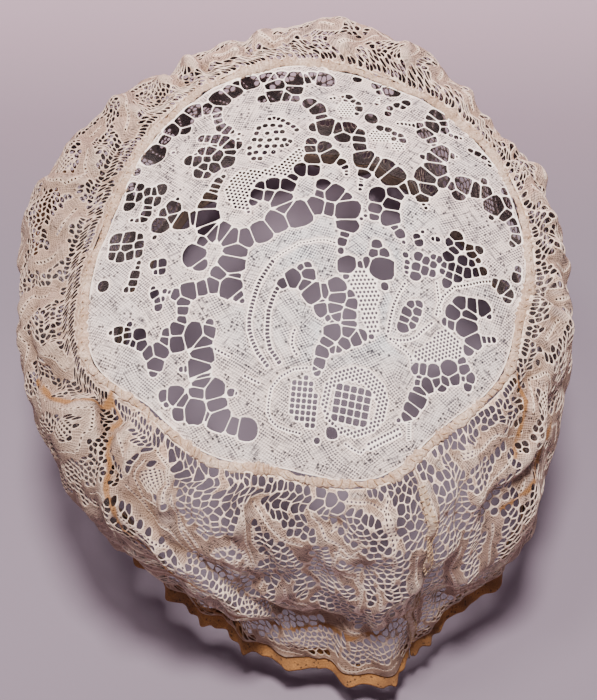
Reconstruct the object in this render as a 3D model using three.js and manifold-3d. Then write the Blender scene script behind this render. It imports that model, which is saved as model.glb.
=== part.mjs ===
import * as THREE from 'three';
import { mergeVertices } from 'three/addons/utils/BufferGeometryUtils.js';
import Module from 'manifold-3d';

// A lace boudoir cap, in millimetres, +Z up. The wearer looks along +Y, so the round crown panel
// faces back and up. The origin is the middle of the head opening, where the head goes in.

// Cloth and clearances
const clothThickness = 1.2;
const seamClearance = 0.35;

// Round crown panel: a shallow dome on a slanting plane behind the top of the head
const crownRadius = 91;
const crownDome = 24;
const crownTilt = 48;
const crownAside = -3;
const crownBack = 60;
const crownRise = 99;
const crownPucker = 0.8;
const crownPuckers = 12;
const crownSpokes = 48;
const crownRings = 5;

// Gathered roll that joins the crown panel to the side band
const rollWidth = 8;
const rollHeight = 5.6;
const rollPuckers = 40;
const rollPuckerShare = 0.16;

// Side band: one long strip of lace, gathered at the crown seam and at the hem
const bandDepth = 150;
const bandColumns = 96;
const bandRows = 8;
const seamGatherDepth = 2.5;
const seamGathers = 24;
const seamGatherShare = 0.25;
const hemRuffleDepth = 2.2;
const hemRuffles = 24;
const softFoldDepth = 3;
const softFolds = 11;

// Head opening: an oval that slants from the forehead down to the nape
const hemHalfWidth = 94;
const hemHalfLength = 119;
const hemTilt = 45;

// Lapped seam where the two ends of the band meet
const joinAngle = 296;
const joinWidth = 5;
const joinThickness = 1;
const joinFromDrop = 0.1;
const joinToDrop = 0.9;

// Narrow ruffle sewn inside the hem and showing below it
const frillLap = 7;
const frillReach = 6;
const frillThickness = 1;
const frillFlare = 1.5;
const frillClearance = 0.55;

// Pierced gaps: the brides are the threads left between two gaps
const brideWidth = 1.6;
const gapSides = 6;

// Outline of the crown seam: angle in degrees, share of the crown radius
const seamOutline = [
  { angle: 0, share: 0 },
  { angle: 50, share: 0.01 },
  { angle: 65, share: -0.005 },
  { angle: 100, share: 0.03 },
  { angle: 130, share: -0.01 },
  { angle: 163, share: -0.065 },
  { angle: 183, share: -0.01 },
  { angle: 206, share: 0.075 },
  { angle: 224, share: -0.015 },
  { angle: 243, share: 0.005 },
  { angle: 262, share: -0.028 },
  { angle: 287, share: 0.05 },
  { angle: 308, share: -0.02 },
  { angle: 327, share: 0.015 },
  { angle: 345, share: -0.015 },
];

// Outline of the head opening: angle, share of the oval's own radius
const hemOutline = [
  { angle: 0, share: 0.02 },
  { angle: 45, share: 0 },
  { angle: 90, share: 0 },
  { angle: 135, share: 0 },
  { angle: 180, share: 0.02 },
  { angle: 210, share: 0.07 },
  { angle: 228, share: 0.01 },
  { angle: 248, share: -0.01 },
  { angle: 270, share: 0.03 },
  { angle: 287, share: 0.14 },
  { angle: 300, share: 0.07 },
  { angle: 314, share: 0.08 },
  { angle: 330, share: 0.13 },
  { angle: 345, share: 0.08 },
];

// How the band swells between seam and hem: leave and lift start it off at the seam, swell and
// rise bring it in at the hem, each a share of the band's depth
const bandSwell = [
  { angle: 0, leave: 0.28, lift: 0.05, swell: 0.14, rise: 0.22 },
  { angle: 45, leave: 0.23, lift: 0.05, swell: 0.22, rise: 0.22 },
  { angle: 90, leave: 0.3, lift: 0.01, swell: 0.28, rise: 0.24 },
  { angle: 135, leave: 0.34, lift: 0.05, swell: 0.27, rise: 0.24 },
  { angle: 180, leave: 0.36, lift: 0.07, swell: 0.22, rise: 0.25 },
  { angle: 225, leave: 0.31, lift: 0.02, swell: 0.02, rise: 0.3 },
  { angle: 270, leave: 0.2, lift: 0, swell: -0.17, rise: 0.3 },
  { angle: 315, leave: 0.28, lift: 0, swell: -0.02, rise: 0.3 },
];

// Soft lumps and hollows of the band: place as angle and drop (0 seam, 1 hem), half width in
// degrees, half height and height as shares of the band's depth
const bandPuffs = [
  { angle: 0, drop: 0.38, halfWidth: 20, halfHeight: 0.25, height: -0.035 },
  { angle: 40, drop: 0.3, halfWidth: 10, halfHeight: 0.22, height: -0.035 },
  { angle: 60, drop: 0.28, halfWidth: 7, halfHeight: 0.2, height: 0.02 },
  { angle: 82, drop: 0.27, halfWidth: 8, halfHeight: 0.2, height: 0.025 },
  { angle: 98, drop: 0.3, halfWidth: 8, halfHeight: 0.2, height: -0.02 },
  { angle: 124, drop: 0.3, halfWidth: 7, halfHeight: 0.25, height: -0.045 },
  { angle: 156, drop: 0.33, halfWidth: 15, halfHeight: 0.25, height: 0.04 },
  { angle: 196, drop: 0.36, halfWidth: 12, halfHeight: 0.2, height: -0.02 },
  { angle: 225, drop: 0.7, halfWidth: 14, halfHeight: 0.2, height: 0.015 },
  { angle: 322, drop: 0.74, halfWidth: 13, halfHeight: 0.2, height: 0.06 },
];

// Long folds, each a straight line on the flat band from one place to another. Width and height
// are shares of the band's depth. A flap has its height on one side of the line alone.
const bandFolds = [
  { fromAngle: 212, fromDrop: 0, toAngle: 257, toDrop: 0.75, width: 0.15, height: 0.05, flap: true },
  { fromAngle: 198, fromDrop: 0.2, toAngle: 213, toDrop: 0.02, width: 0.035, height: -0.04, flap: false },
  { fromAngle: 336, fromDrop: 0.4, toAngle: 316, toDrop: 0.4, width: 0.04, height: -0.045, flap: false },
  { fromAngle: 332, fromDrop: 0.02, toAngle: 321, toDrop: 0.22, width: 0.05, height: -0.04, flap: false },
  { fromAngle: 244, fromDrop: 0.9, toAngle: 291, toDrop: 0.78, width: 0.045, height: -0.04, flap: false },
];

// Open channels of the crown's lace, each a curve from start through via to end, in shares of the
// crown radius, x along +X and y up the slanting panel
const crownChannels = [
  { startX: -0.74, startY: 0.52, viaX: -0.62, viaY: 0.71, endX: -0.4, endY: 0.84, width: 0.07, gaps: 5 },
  { startX: -0.16, startY: 0.86, viaX: -0.06, viaY: 0.88, endX: 0.08, endY: 0.87, width: 0.09, gaps: 3 },
  { startX: 0.02, startY: 0.76, viaX: 0.05, viaY: 0.66, endX: 0.2, endY: 0.58, width: 0.09, gaps: 4 },
  { startX: 0.22, startY: 0.5, viaX: 0.3, viaY: 0.42, endX: 0.38, endY: 0.33, width: 0.11, gaps: 5 },
  { startX: 0.3, startY: 0.27, viaX: 0.38, viaY: 0.22, endX: 0.35, endY: 0.13, width: 0.08, gaps: 3 },
  { startX: 0.45, startY: 0.31, viaX: 0.6, viaY: 0.46, endX: 0.6, endY: 0.74, width: 0.08, gaps: 7 },
  { startX: 0.66, startY: 0.37, viaX: 0.78, viaY: 0.35, endX: 0.9, endY: 0.22, width: 0.07, gaps: 4 },
  { startX: -0.34, startY: -0.04, viaX: -0.22, viaY: 0.09, endX: 0.0, endY: 0.12, width: 0.11, gaps: 5 },
  { startX: -0.12, startY: 0.25, viaX: 0.04, viaY: 0.21, endX: 0.17, endY: 0.12, width: 0.09, gaps: 4 },
  { startX: -0.46, startY: 0.28, viaX: -0.46, viaY: 0.12, endX: -0.36, endY: 0.05, width: 0.08, gaps: 4 },
  { startX: -0.68, startY: 0.16, viaX: -0.6, viaY: 0.17, endX: -0.54, endY: 0.16, width: 0.07, gaps: 2 },
  { startX: -0.34, startY: -0.15, viaX: -0.44, viaY: -0.18, endX: -0.56, endY: -0.24, width: 0.06, gaps: 3 },
  { startX: 0.03, startY: -0.23, viaX: 0.14, viaY: -0.29, endX: 0.1, endY: -0.46, width: 0.09, gaps: 4 },
  { startX: 0.66, startY: -0.24, viaX: 0.66, viaY: -0.34, endX: 0.74, endY: -0.4, width: 0.1, gaps: 3 },
  { startX: -0.6, startY: -0.64, viaX: -0.44, viaY: -0.66, endX: -0.28, endY: -0.79, width: 0.1, gaps: 5 },
  { startX: 0.52, startY: -0.56, viaX: 0.48, viaY: -0.68, endX: 0.42, endY: -0.76, width: 0.06, gaps: 3 },
];

// Patches of open net on the band, centred at an angle and a drop, each a few gaps across and
// down, with the gaps' width and height as shares of the band's depth
const bandNets = [
  { angle: 30, drop: 0.38, across: 2, down: 3, width: 0.035, height: 0.055 },
  { angle: 88, drop: 0.36, across: 2, down: 3, width: 0.035, height: 0.055 },
  { angle: 140, drop: 0.42, across: 2, down: 3, width: 0.035, height: 0.055 },
  { angle: 178, drop: 0.5, across: 2, down: 3, width: 0.035, height: 0.055 },
  { angle: 237, drop: 0.2, across: 3, down: 3, width: 0.035, height: 0.06 },
  { angle: 268, drop: 0.5, across: 3, down: 3, width: 0.032, height: 0.06 },
  { angle: 308, drop: 0.3, across: 3, down: 3, width: 0.032, height: 0.06 },
];

const wasm = await Module();
wasm.setup();

const right = new THREE.Vector3(1, 0, 0);
const crownUp = slantedUp(90 - crownTilt);
const crownOut = right.clone().cross(crownUp);
const crownMiddle = new THREE.Vector3(crownAside, -crownBack, crownRise);
const hemUp = slantedUp(hemTilt);
const hemOut = right.clone().cross(hemUp);
const girthPerDegree = (2 * Math.PI * (crownRadius + hemHalfLength) / 2) / 360;
const bandSpread = girthPerDegree * 360;
const joinHalfAngle = joinWidth / 2 / girthPerDegree;

// A direction that leans forward and up, its elevation in degrees
function slantedUp(elevation) {
  const lean = THREE.MathUtils.degToRad(elevation);
  return new THREE.Vector3(0, Math.cos(lean), Math.sin(lean));
}

// Smooth value of one column of a table round the whole circle
function aroundTable(rows, column, angle) {
  const turn = THREE.MathUtils.euclideanModulo(angle, 360);
  const count = rows.length;
  let here = count - 1;
  rows.forEach((row, index) => {
    if (row.angle <= turn) here = index;
  });
  const at = (index) => rows[THREE.MathUtils.euclideanModulo(index, count)];
  const span = (a, b) => THREE.MathUtils.euclideanModulo(b.angle - a.angle, 360);
  const [before, from, to, after] = [at(here - 1), at(here), at(here + 1), at(here + 2)];
  const width = span(from, to);
  const s = span(from, { angle: turn }) / width;
  const slopeFrom = (to[column] - before[column]) / span(before, to) * width;
  const slopeTo = (after[column] - from[column]) / span(from, after) * width;
  const keepFrom = 2 * s ** 3 - 3 * s ** 2 + 1;
  const keepSlopeFrom = s ** 3 - 2 * s ** 2 + s;
  const keepSlopeTo = s ** 3 - s ** 2;
  return keepFrom * from[column] + keepSlopeFrom * slopeFrom
    + (1 - keepFrom) * to[column] + keepSlopeTo * slopeTo;
}

function spoke(angle, up) {
  const turn = THREE.MathUtils.degToRad(angle);
  return right.clone().multiplyScalar(Math.cos(turn)).addScaledVector(up, Math.sin(turn));
}

function wave(count, angle, drift) {
  return Math.cos(THREE.MathUtils.degToRad(count * angle) + drift);
}

function seamRadius(angle) {
  return crownRadius * (1 + aroundTable(seamOutline, 'share', angle));
}

function seamPoint(angle, outward) {
  return crownMiddle.clone().addScaledVector(spoke(angle, crownUp), seamRadius(angle) + outward);
}

function hemPoint(angle) {
  const turn = THREE.MathUtils.degToRad(angle);
  const grow = 1 + aroundTable(hemOutline, 'share', angle);
  return right.clone().multiplyScalar(grow * hemHalfWidth * Math.cos(turn))
    .addScaledVector(hemUp, grow * hemHalfLength * Math.sin(turn));
}

// The band without its folds. Past the hem it goes straight on.
function bandBase(angle, drop) {
  const swellAt = (column) => bandDepth * aroundTable(bandSwell, column, angle);
  const start = seamPoint(angle, rollWidth / 2 + seamClearance);
  const end = hemPoint(angle);
  const leave = start.clone().addScaledVector(spoke(angle, crownUp), swellAt('leave'))
    .addScaledVector(crownOut, swellAt('lift'));
  const arrive = end.clone().addScaledVector(spoke(angle, hemUp), swellAt('swell'))
    .addScaledVector(hemOut, swellAt('rise'));
  if (drop > 1) {
    const onward = end.clone().sub(arrive).normalize();
    return end.addScaledVector(onward, (drop - 1) * bandDepth);
  }
  return new THREE.CubicBezierCurve3(start, leave, arrive, end).getPoint(drop);
}

function angleApart(angle, other) {
  return THREE.MathUtils.euclideanModulo(angle - other + 180, 360) - 180;
}

function puffHeight(angle, drop) {
  let height = 0;
  for (const puff of bandPuffs) {
    const aside = angleApart(angle, puff.angle) / puff.halfWidth;
    const below = (drop - puff.drop) / puff.halfHeight;
    height += bandDepth * puff.height * Math.exp(-(aside ** 2 + below ** 2) / 2);
  }
  return height;
}

// Height of one long fold at a place, from its distance to the fold's line on the flat band
function foldHeight(fold, angle, drop) {
  const alongX = angleApart(fold.toAngle, fold.fromAngle) * girthPerDegree;
  const alongY = (fold.toDrop - fold.fromDrop) * bandDepth;
  const x = angleApart(angle, fold.fromAngle) * girthPerDegree;
  const y = (drop - fold.fromDrop) * bandDepth;
  const length = Math.hypot(alongX, alongY);
  const along = THREE.MathUtils.clamp((x * alongX + y * alongY) / length ** 2, 0, 1);
  const across = (x * alongY - y * alongX) / length;
  const away = Math.hypot(x - along * alongX, y - along * alongY) / (fold.width * bandDepth);
  const near = Math.exp(-(away ** 2) / 2);
  const side = fold.flap ? 1 - THREE.MathUtils.smoothstep(across, -seamGatherDepth, seamGatherDepth) : 1;
  return bandDepth * fold.height * near * side;
}

// Gathers fade away from the seam, ruffles fade away from the hem, soft folds run between them
function gatherHeight(angle, drop) {
  const atSeam = Math.exp(-((drop / 0.32) ** 2));
  const atHem = Math.exp(-(((1 - Math.min(drop, 1)) / 0.16) ** 2));
  const between = Math.sin(Math.PI * Math.min(drop, 1));
  const drift = 0.9 * wave(3, angle, 1);
  return seamGatherDepth * atSeam * wave(seamGathers, angle, 0.4 * drift)
    + hemRuffleDepth * atHem * wave(hemRuffles, angle, 0.5 * drift + 1)
    + softFoldDepth * between * wave(softFolds, angle, drift + 2 * drop);
}

// Little of the gathers and nothing of the folds reaches the seam, so that the band meets the roll
function bandHeight(angle, drop) {
  const clear = THREE.MathUtils.smoothstep(drop, 0, 0.08);
  const folds = bandFolds.reduce((sum, fold) => sum + foldHeight(fold, angle, drop), 0);
  const gathers = gatherHeight(angle, drop) * (seamGatherShare + (1 - seamGatherShare) * clear);
  return gathers + clear * (puffHeight(angle, drop) + folds);
}

function normalOf(surface, angle, drop) {
  const stepAngle = 0.4;
  const stepDrop = 0.01;
  const around = surface(angle + stepAngle, drop).sub(surface(angle - stepAngle, drop));
  const down = surface(angle, drop + stepDrop).sub(surface(angle, drop - stepDrop));
  return down.cross(around).normalize();
}

function bandMiddle(angle, drop) {
  const inside = Math.max(drop, 0);
  const point = bandBase(angle, inside);
  return point.addScaledVector(normalOf(bandBase, angle, Math.max(inside, 0.01)), bandHeight(angle, drop));
}

// A place on the folded band, moved outward by a distance
function bandPoint(angle, drop, outward) {
  return bandMiddle(angle, drop).addScaledVector(normalOf(bandMiddle, angle, Math.max(drop, 0.01)), outward);
}

// The crown panel's middle surface over a flat place on its plane, moved outward by a distance
function crownPoint(x, y, outward) {
  const angle = THREE.MathUtils.radToDeg(Math.atan2(y, x));
  const reach = Math.hypot(x, y);
  const share = reach / seamRadius(angle);
  const slope = 2 * crownDome * share / seamRadius(angle);
  const radial = spoke(angle, crownUp);
  const normal = crownOut.clone().addScaledVector(radial, slope).normalize();
  const pucker = crownPucker * share ** 6 * wave(crownPuckers, angle, 0);
  return crownMiddle.clone().addScaledVector(radial, reach)
    .addScaledVector(crownOut, crownDome * (1 - share ** 2) + pucker)
    .addScaledVector(normal, outward);
}

// A closed mesh from corners and triangles
function closedGeometry(corners, triangles) {
  const geometry = new THREE.BufferGeometry();
  geometry.setAttribute('position', new THREE.Float32BufferAttribute(corners.flat(), 3));
  geometry.setIndex(triangles.flat());
  return geometry;
}

function toSolid(geometry) {
  const bare = geometry.clone();
  bare.deleteAttribute('normal');
  bare.deleteAttribute('uv');
  const welded = mergeVertices(bare, 1e-4);
  return new wasm.Manifold(new wasm.Mesh({
    numProp: 3,
    vertProperties: new Float32Array(welded.attributes.position.array),
    triVerts: new Uint32Array(welded.index.array),
  }));
}

// While it is flat, a sheet is bowed a little, so that its grid stays whole under the cuts
const bow = 0.001;

function bowHeight(x, y) {
  return bow * (x ** 2 + y ** 2);
}

// Cuts gaps through a flat sheet and returns the corners as x, y, face (0 under, 1 upper) with
// the triangles. Each gap is a list of flat points.
function pierced(corners, triangles, gaps) {
  const raised = corners.map(([x, y, face]) => [x, y, bowHeight(x, y) + face * clothThickness]);
  let solid = toSolid(closedGeometry(raised, triangles));
  const farthest = Math.max(...raised.map((corner) => corner[2]));
  const cutters = gaps.map((points) => {
    const outline = new THREE.Shape(points.map(([x, y]) => new THREE.Vector2(x, y)));
    const prism = new THREE.ExtrudeGeometry(outline, { depth: farthest + 2, bevelEnabled: false });
    return toSolid(prism.translate(0, 0, -1));
  });
  for (const cutter of cutters) solid = solid.subtract(cutter);
  const mesh = solid.getMesh();
  const found = [];
  for (let index = 0; index < mesh.numVert; index += 1) {
    const [x, y, z] = mesh.vertProperties.slice(index * mesh.numProp, index * mesh.numProp + 3);
    found.push([x, y, z - bowHeight(x, y) > clothThickness / 2 ? 1 : 0]);
  }
  const faces = [];
  for (let index = 0; index < mesh.numTri; index += 1) {
    faces.push(Array.from(mesh.triVerts.slice(index * 3, index * 3 + 3)));
  }
  return { corners: found, triangles: faces };
}

// A gap with rounded ends along a direction, as points round its middle
function gapOutline(x, y, length, width, turn) {
  const points = [];
  for (let side = 0; side < gapSides; side += 1) {
    const around = 2 * Math.PI * side / gapSides;
    const along = length / 2 * Math.cos(around);
    const across = width / 2 * Math.sin(around) / Math.sin(Math.PI / 3);
    points.push([
      x + along * Math.cos(turn) - across * Math.sin(turn),
      y + along * Math.sin(turn) + across * Math.cos(turn),
    ]);
  }
  return points;
}

function channelGaps(channel) {
  const place = (name) => new THREE.Vector2(channel[`${name}X`], channel[`${name}Y`]).multiplyScalar(crownRadius);
  const [start, via, end] = ['start', 'via', 'end'].map(place);
  const control = via.clone().multiplyScalar(2).sub(start.clone().add(end).multiplyScalar(0.5));
  const curve = new THREE.QuadraticBezierCurve(start, control, end);
  const pitch = curve.getLength() / Math.max(channel.gaps - 1, 1);
  const gaps = [];
  for (let index = 0; index < channel.gaps; index += 1) {
    const along = index / (channel.gaps - 1);
    const middle = curve.getPointAt(along);
    const heading = curve.getTangentAt(along).angle();
    const length = Math.min(pitch - brideWidth, channel.width * crownRadius * 1.6);
    gaps.push(gapOutline(middle.x, middle.y, length, channel.width * crownRadius, heading));
  }
  return gaps;
}

function netGaps(net) {
  const width = net.width * bandDepth;
  const height = net.height * bandDepth;
  const gaps = [];
  for (let row = 0; row < net.down; row += 1) {
    for (let column = 0; column < net.across; column += 1) {
      const shift = (row % 2) / 2 - 0.25;
      const across = (column + shift - (net.across - 1) / 2) * (width + brideWidth);
      const down = (row - (net.down - 1) / 2) * (height * 0.86 + brideWidth);
      const x = sheetX(net.angle) + across;
      gaps.push(gapOutline(x, net.drop * bandDepth + down, height, width, Math.PI / 2));
    }
  }
  return gaps;
}

// The flat band starts at the angle opposite the join
const bandStart = joinAngle - 180;

function sheetX(angle) {
  return THREE.MathUtils.euclideanModulo(angle - bandStart, 360) * girthPerDegree;
}

function sheetAngle(x) {
  return bandStart + x / girthPerDegree;
}

// The angles of the band's columns, with two more beside the join
function columnAngles() {
  const step = 360 / bandColumns;
  const angles = [];
  for (let index = 0; index <= bandColumns; index += 1) angles.push(bandStart + index * step);
  const middle = angles.indexOf(joinAngle);
  angles.splice(middle, 1, joinAngle - joinHalfAngle, joinAngle, joinAngle + joinHalfAngle);
  return angles;
}

// A block of cells between an under and an upper sheet, over columns and rows of flat places
function sheetBlock(xs, ys) {
  const corners = [];
  for (const face of [0, 1]) {
    for (const x of xs) for (const y of ys) corners.push([x, y, face]);
  }
  const at = (column, row, face) => face * xs.length * ys.length + column * ys.length + row;
  const triangles = [];
  const quad = (a, b, c, d) => triangles.push([a, b, c], [a, c, d]);
  const lastColumn = xs.length - 1;
  const lastRow = ys.length - 1;
  for (let column = 0; column < lastColumn; column += 1) {
    for (let row = 0; row < lastRow; row += 1) {
      quad(at(column, row, 1), at(column + 1, row, 1), at(column + 1, row + 1, 1), at(column, row + 1, 1));
      quad(at(column, row, 0), at(column, row + 1, 0), at(column + 1, row + 1, 0), at(column + 1, row, 0));
    }
    quad(at(column, 0, 0), at(column + 1, 0, 0), at(column + 1, 0, 1), at(column, 0, 1));
    quad(at(column + 1, lastRow, 0), at(column, lastRow, 0), at(column, lastRow, 1), at(column + 1, lastRow, 1));
  }
  for (let row = 0; row < lastRow; row += 1) {
    quad(at(0, row + 1, 0), at(0, row, 0), at(0, row, 1), at(0, row + 1, 1));
    quad(at(lastColumn, row, 0), at(lastColumn, row + 1, 0), at(lastColumn, row + 1, 1), at(lastColumn, row, 1));
  }
  return { corners, triangles };
}

// Bends a flat sheet of the band into place. Its angle and its drop make a left-handed pair, so
// each triangle turns over. A sheet that goes all the way round loses its two end faces and is
// welded there.
function bent(sheet, place, fullLength) {
  const snap = 1e-3;
  const atStart = (corner) => Math.abs(corner[0]) < snap;
  const atEnd = (corner) => Math.abs(corner[0] - fullLength) < snap;
  const kept = sheet.triangles.filter((triangle) => {
    const ends = triangle.map((index) => sheet.corners[index]);
    return !(fullLength && (ends.every(atStart) || ends.every(atEnd)));
  }).map(([a, b, c]) => [a, c, b]);
  const placed = sheet.corners.map((corner) => {
    const x = fullLength && atEnd(corner) ? 0 : corner[0];
    return place(x, corner[1], corner[2]).toArray();
  });
  return mergeVertices(closedGeometry(placed, kept), 1e-4);
}

function evenly(from, to, count) {
  return Array.from({ length: count + 1 }, (_, index) => from + (to - from) * index / count);
}

// The band's rows lie closer together at the seam and at the hem, where it is gathered
function rowDrops() {
  return evenly(0, 1, bandRows).map((share) => share - 0.07 * Math.sin(2 * Math.PI * share));
}

function sideBand() {
  const xs = columnAngles().map((angle) => (angle - bandStart) * girthPerDegree);
  const ys = rowDrops().map((drop) => drop * bandDepth);
  const block = sheetBlock(xs, ys);
  const sheet = pierced(block.corners, block.triangles, bandNets.flatMap(netGaps));
  const outward = (face) => (face - 0.5) * clothThickness;
  const place = (x, y, face) => bandPoint(sheetAngle(x), y / bandDepth, outward(face));
  return bent(sheet, place, bandSpread);
}

function bandJoin() {
  const drops = rowDrops().filter((drop) => drop > joinFromDrop && drop < joinToDrop);
  const angles = [joinAngle - joinHalfAngle, joinAngle, joinAngle + joinHalfAngle];
  const under = clothThickness / 2 + seamClearance;
  const place = (angle, drop, face) => bandPoint(angle, drop, under + face * joinThickness);
  return bent(sheetBlock(angles, drops), place, 0);
}

function hemFrill() {
  const drops = rowDrops();
  const lastRow = drops[drops.length - 2];
  const lapDrop = 1 - frillLap / bandDepth;
  const lapShare = (lapDrop - lastRow) / (1 - lastRow);
  const upper = -clothThickness / 2 - frillClearance;
  const place = (turn, drop, face) => {
    const angle = turn + bandStart;
    const outward = upper - (1 - face) * frillThickness;
    const flare = drop > 1 ? frillFlare * wave(hemRuffles, angle, 0) : 0;
    if (drop >= 1) return bandPoint(angle, drop, outward + flare);
    return bandPoint(angle, lastRow, outward).lerp(bandPoint(angle, 1, outward), lapShare);
  };
  const turns = columnAngles().map((angle) => angle - bandStart);
  return bent(sheetBlock(turns, [lapDrop, 1, 1 + frillReach / bandDepth]), place, 360);
}

function crownSeam() {
  const sections = 2 * rollPuckers;
  const side = rollHeight * 0.25;
  const corners = [];
  const triangles = [];
  const profile = [[1, -side], [1, side], [0, rollHeight / 2], [-1, side], [-1, -side], [0, -rollHeight / 2]];
  for (let index = 0; index < sections; index += 1) {
    const angle = 360 * index / sections;
    const swell = 1 + rollPuckerShare * wave(rollPuckers, angle, 0);
    for (const [across, high] of profile) {
      const lift = across === 0 ? high * swell : high;
      corners.push(seamPoint(angle, across * rollWidth / 2).addScaledVector(crownOut, lift).toArray());
    }
  }
  const at = (section, point) => (section % sections) * profile.length + point % profile.length;
  for (let index = 0; index < sections; index += 1) {
    for (let point = 0; point < profile.length; point += 1) {
      const [a, b] = [at(index, point), at(index + 1, point)];
      const [c, d] = [at(index + 1, point + 1), at(index, point + 1)];
      triangles.push([a, b, c], [a, c, d]);
    }
  }
  return closedGeometry(corners, triangles);
}

// The crown panel's flat sheet: rings of corners round a middle one
function crownSheet() {
  const corners = [];
  const triangles = [];
  for (const face of [0, 1]) {
    corners.push([0, 0, face]);
    for (let ring = 1; ring <= crownRings; ring += 1) {
      for (let index = 0; index < crownSpokes; index += 1) {
        const angle = 360 * index / crownSpokes;
        const turn = THREE.MathUtils.degToRad(angle);
        const edge = seamRadius(angle) - rollWidth / 2 - seamClearance;
        const reach = edge * ring / crownRings;
        corners.push([reach * Math.cos(turn), reach * Math.sin(turn), face]);
      }
    }
  }
  const sheetSize = 1 + crownRings * crownSpokes;
  const at = (ring, index, face) => face * sheetSize + 1 + (ring - 1) * crownSpokes + index % crownSpokes;
  for (let index = 0; index < crownSpokes; index += 1) {
    triangles.push([sheetSize, at(1, index, 1), at(1, index + 1, 1)]);
    triangles.push([0, at(1, index + 1, 0), at(1, index, 0)]);
    for (let ring = 1; ring < crownRings; ring += 1) {
      for (const face of [0, 1]) {
        const [a, b] = [at(ring, index, face), at(ring + 1, index, face)];
        const [c, d] = [at(ring + 1, index + 1, face), at(ring, index + 1, face)];
        triangles.push(...(face ? [[a, b, c], [a, c, d]] : [[a, c, b], [a, d, c]]));
      }
    }
    const [a, b] = [at(crownRings, index, 0), at(crownRings, index + 1, 0)];
    const [c, d] = [at(crownRings, index + 1, 1), at(crownRings, index, 1)];
    triangles.push([a, b, c], [a, c, d]);
  }
  return { corners, triangles };
}

function crownPanel() {
  const block = crownSheet();
  const sheet = pierced(block.corners, block.triangles, crownChannels.flatMap(channelGaps));
  const placed = sheet.corners.map(([x, y, face]) => crownPoint(x, y, (face - 0.5) * clothThickness).toArray());
  return closedGeometry(placed, sheet.triangles);
}

// Colours from the photograph: cream lace, a peach roll and an ochre ruffle
const lace = new THREE.MeshStandardMaterial({ color: 0xe0d2c4, roughness: 0.9, metalness: 0 });
const roll = new THREE.MeshStandardMaterial({ color: 0xdcc4b0, roughness: 0.92, metalness: 0 });
const ochre = new THREE.MeshStandardMaterial({ color: 0xc08f52, roughness: 0.9, metalness: 0 });

function piece(name, geometry, material) {
  const mesh = new THREE.Mesh(geometry, material.clone());
  mesh.name = name;
  return mesh;
}

const group = new THREE.Group();
group.add(piece('crown_panel', crownPanel(), lace));
group.add(piece('crown_seam', crownSeam(), roll));
group.add(piece('side_band', sideBand(), lace));
group.add(piece('band_join', bandJoin(), roll));
group.add(piece('hem_frill', hemFrill(), ochre));

export default group;
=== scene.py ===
# A lace boudoir cap: cut lace, gathers, seam roll, ruffle and finish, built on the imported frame
import math

import bpy
import numpy as np
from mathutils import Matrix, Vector, kdtree
from mathutils.geometry import delaunay_2d_cdt


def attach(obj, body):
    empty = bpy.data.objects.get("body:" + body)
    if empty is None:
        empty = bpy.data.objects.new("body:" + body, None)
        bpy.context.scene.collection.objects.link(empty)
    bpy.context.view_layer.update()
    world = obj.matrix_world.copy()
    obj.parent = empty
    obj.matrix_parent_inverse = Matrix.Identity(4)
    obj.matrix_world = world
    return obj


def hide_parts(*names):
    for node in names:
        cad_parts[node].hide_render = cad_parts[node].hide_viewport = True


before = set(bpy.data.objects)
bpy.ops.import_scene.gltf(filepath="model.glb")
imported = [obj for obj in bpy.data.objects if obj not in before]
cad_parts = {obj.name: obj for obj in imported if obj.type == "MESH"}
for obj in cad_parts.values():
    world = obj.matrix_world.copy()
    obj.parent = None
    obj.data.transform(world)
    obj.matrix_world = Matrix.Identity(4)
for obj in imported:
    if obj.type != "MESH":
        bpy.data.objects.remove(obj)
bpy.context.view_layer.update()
print("frame loaded")

# Forms are worked out in millimetres, as in the frame, and turned into metres when a mesh is made.
# Angles run round the crown from +X upwards.
metre = 0.001
crown = {"radius": 91.0, "dome": 24.0, "tilt": 48.0, "middle": (-3.0, -60.0, 99.0)}
opening = {"halfWidth": 94.0, "halfLength": 119.0, "tilt": 45.0}
bandForm = {
    "depth": 150.0, "flatLength": 960.0, "startAngle": 296.0, "seamOffset": 2.6, "columns": 1800, "rows": 150,
    "rowsPastHem": 14, "flapEdge": 1.3, "smoothing": 41,
}

# angle, share of the crown's radius
seamOutline = [(0, 0), (50, .01), (65, -.005), (100, .03), (130, -.01), (163, -.065), (183, -.01), (206, .075),
               (224, -.015), (243, .005), (262, -.028), (287, .05), (308, -.02), (327, .015), (345, -.015)]
# angle, share of the opening's own radius
hemOutline = [(0, .02), (45, 0), (90, 0), (135, 0), (180, .02), (210, .07), (228, .01), (248, -.01), (270, .03),
              (287, .14), (300, .07), (314, .08), (330, .13), (345, .08)]
# angle, then leave and lift at the seam, swell and rise at the hem, as shares of the band's depth
bandSwell = [(0, .28, .05, .14, .22), (45, .23, .05, .22, .22), (90, .3, .01, .28, .24), (135, .34, .05, .27, .24),
             (180, .36, .07, .22, .25), (225, .31, .02, .02, .3), (270, .2, 0, -.17, .3), (315, .28, 0, -.02, .3)]
# angle, drop, half width in degrees, half height and height as shares of the band's depth
bandPuffs = [(0, .38, 20, .25, -.035), (40, .3, 10, .22, -.035), (60, .28, 7, .2, .02), (82, .27, 8, .2, .025),
             (98, .3, 8, .2, -.02), (124, .3, 7, .25, -.045), (156, .33, 15, .25, .04), (196, .36, 12, .2, -.02),
             (225, .7, 14, .2, .015), (322, .74, 13, .2, .045), (340, .5, 16, .28, -.03)]
# from angle and drop, to angle and drop, width and height as shares of the depth, flap or plain fold
bandFolds = [(212, 0, 257, .75, .15, .05, True), (198, .2, 213, .02, .035, -.04, False),
             (336, .4, 316, .4, .04, -.045, False), (332, .02, 321, .22, .05, -.04, False),
             (244, .9, 291, .78, .045, -.04, False)]

xAxis = np.array([1.0, 0.0, 0.0])


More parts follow.
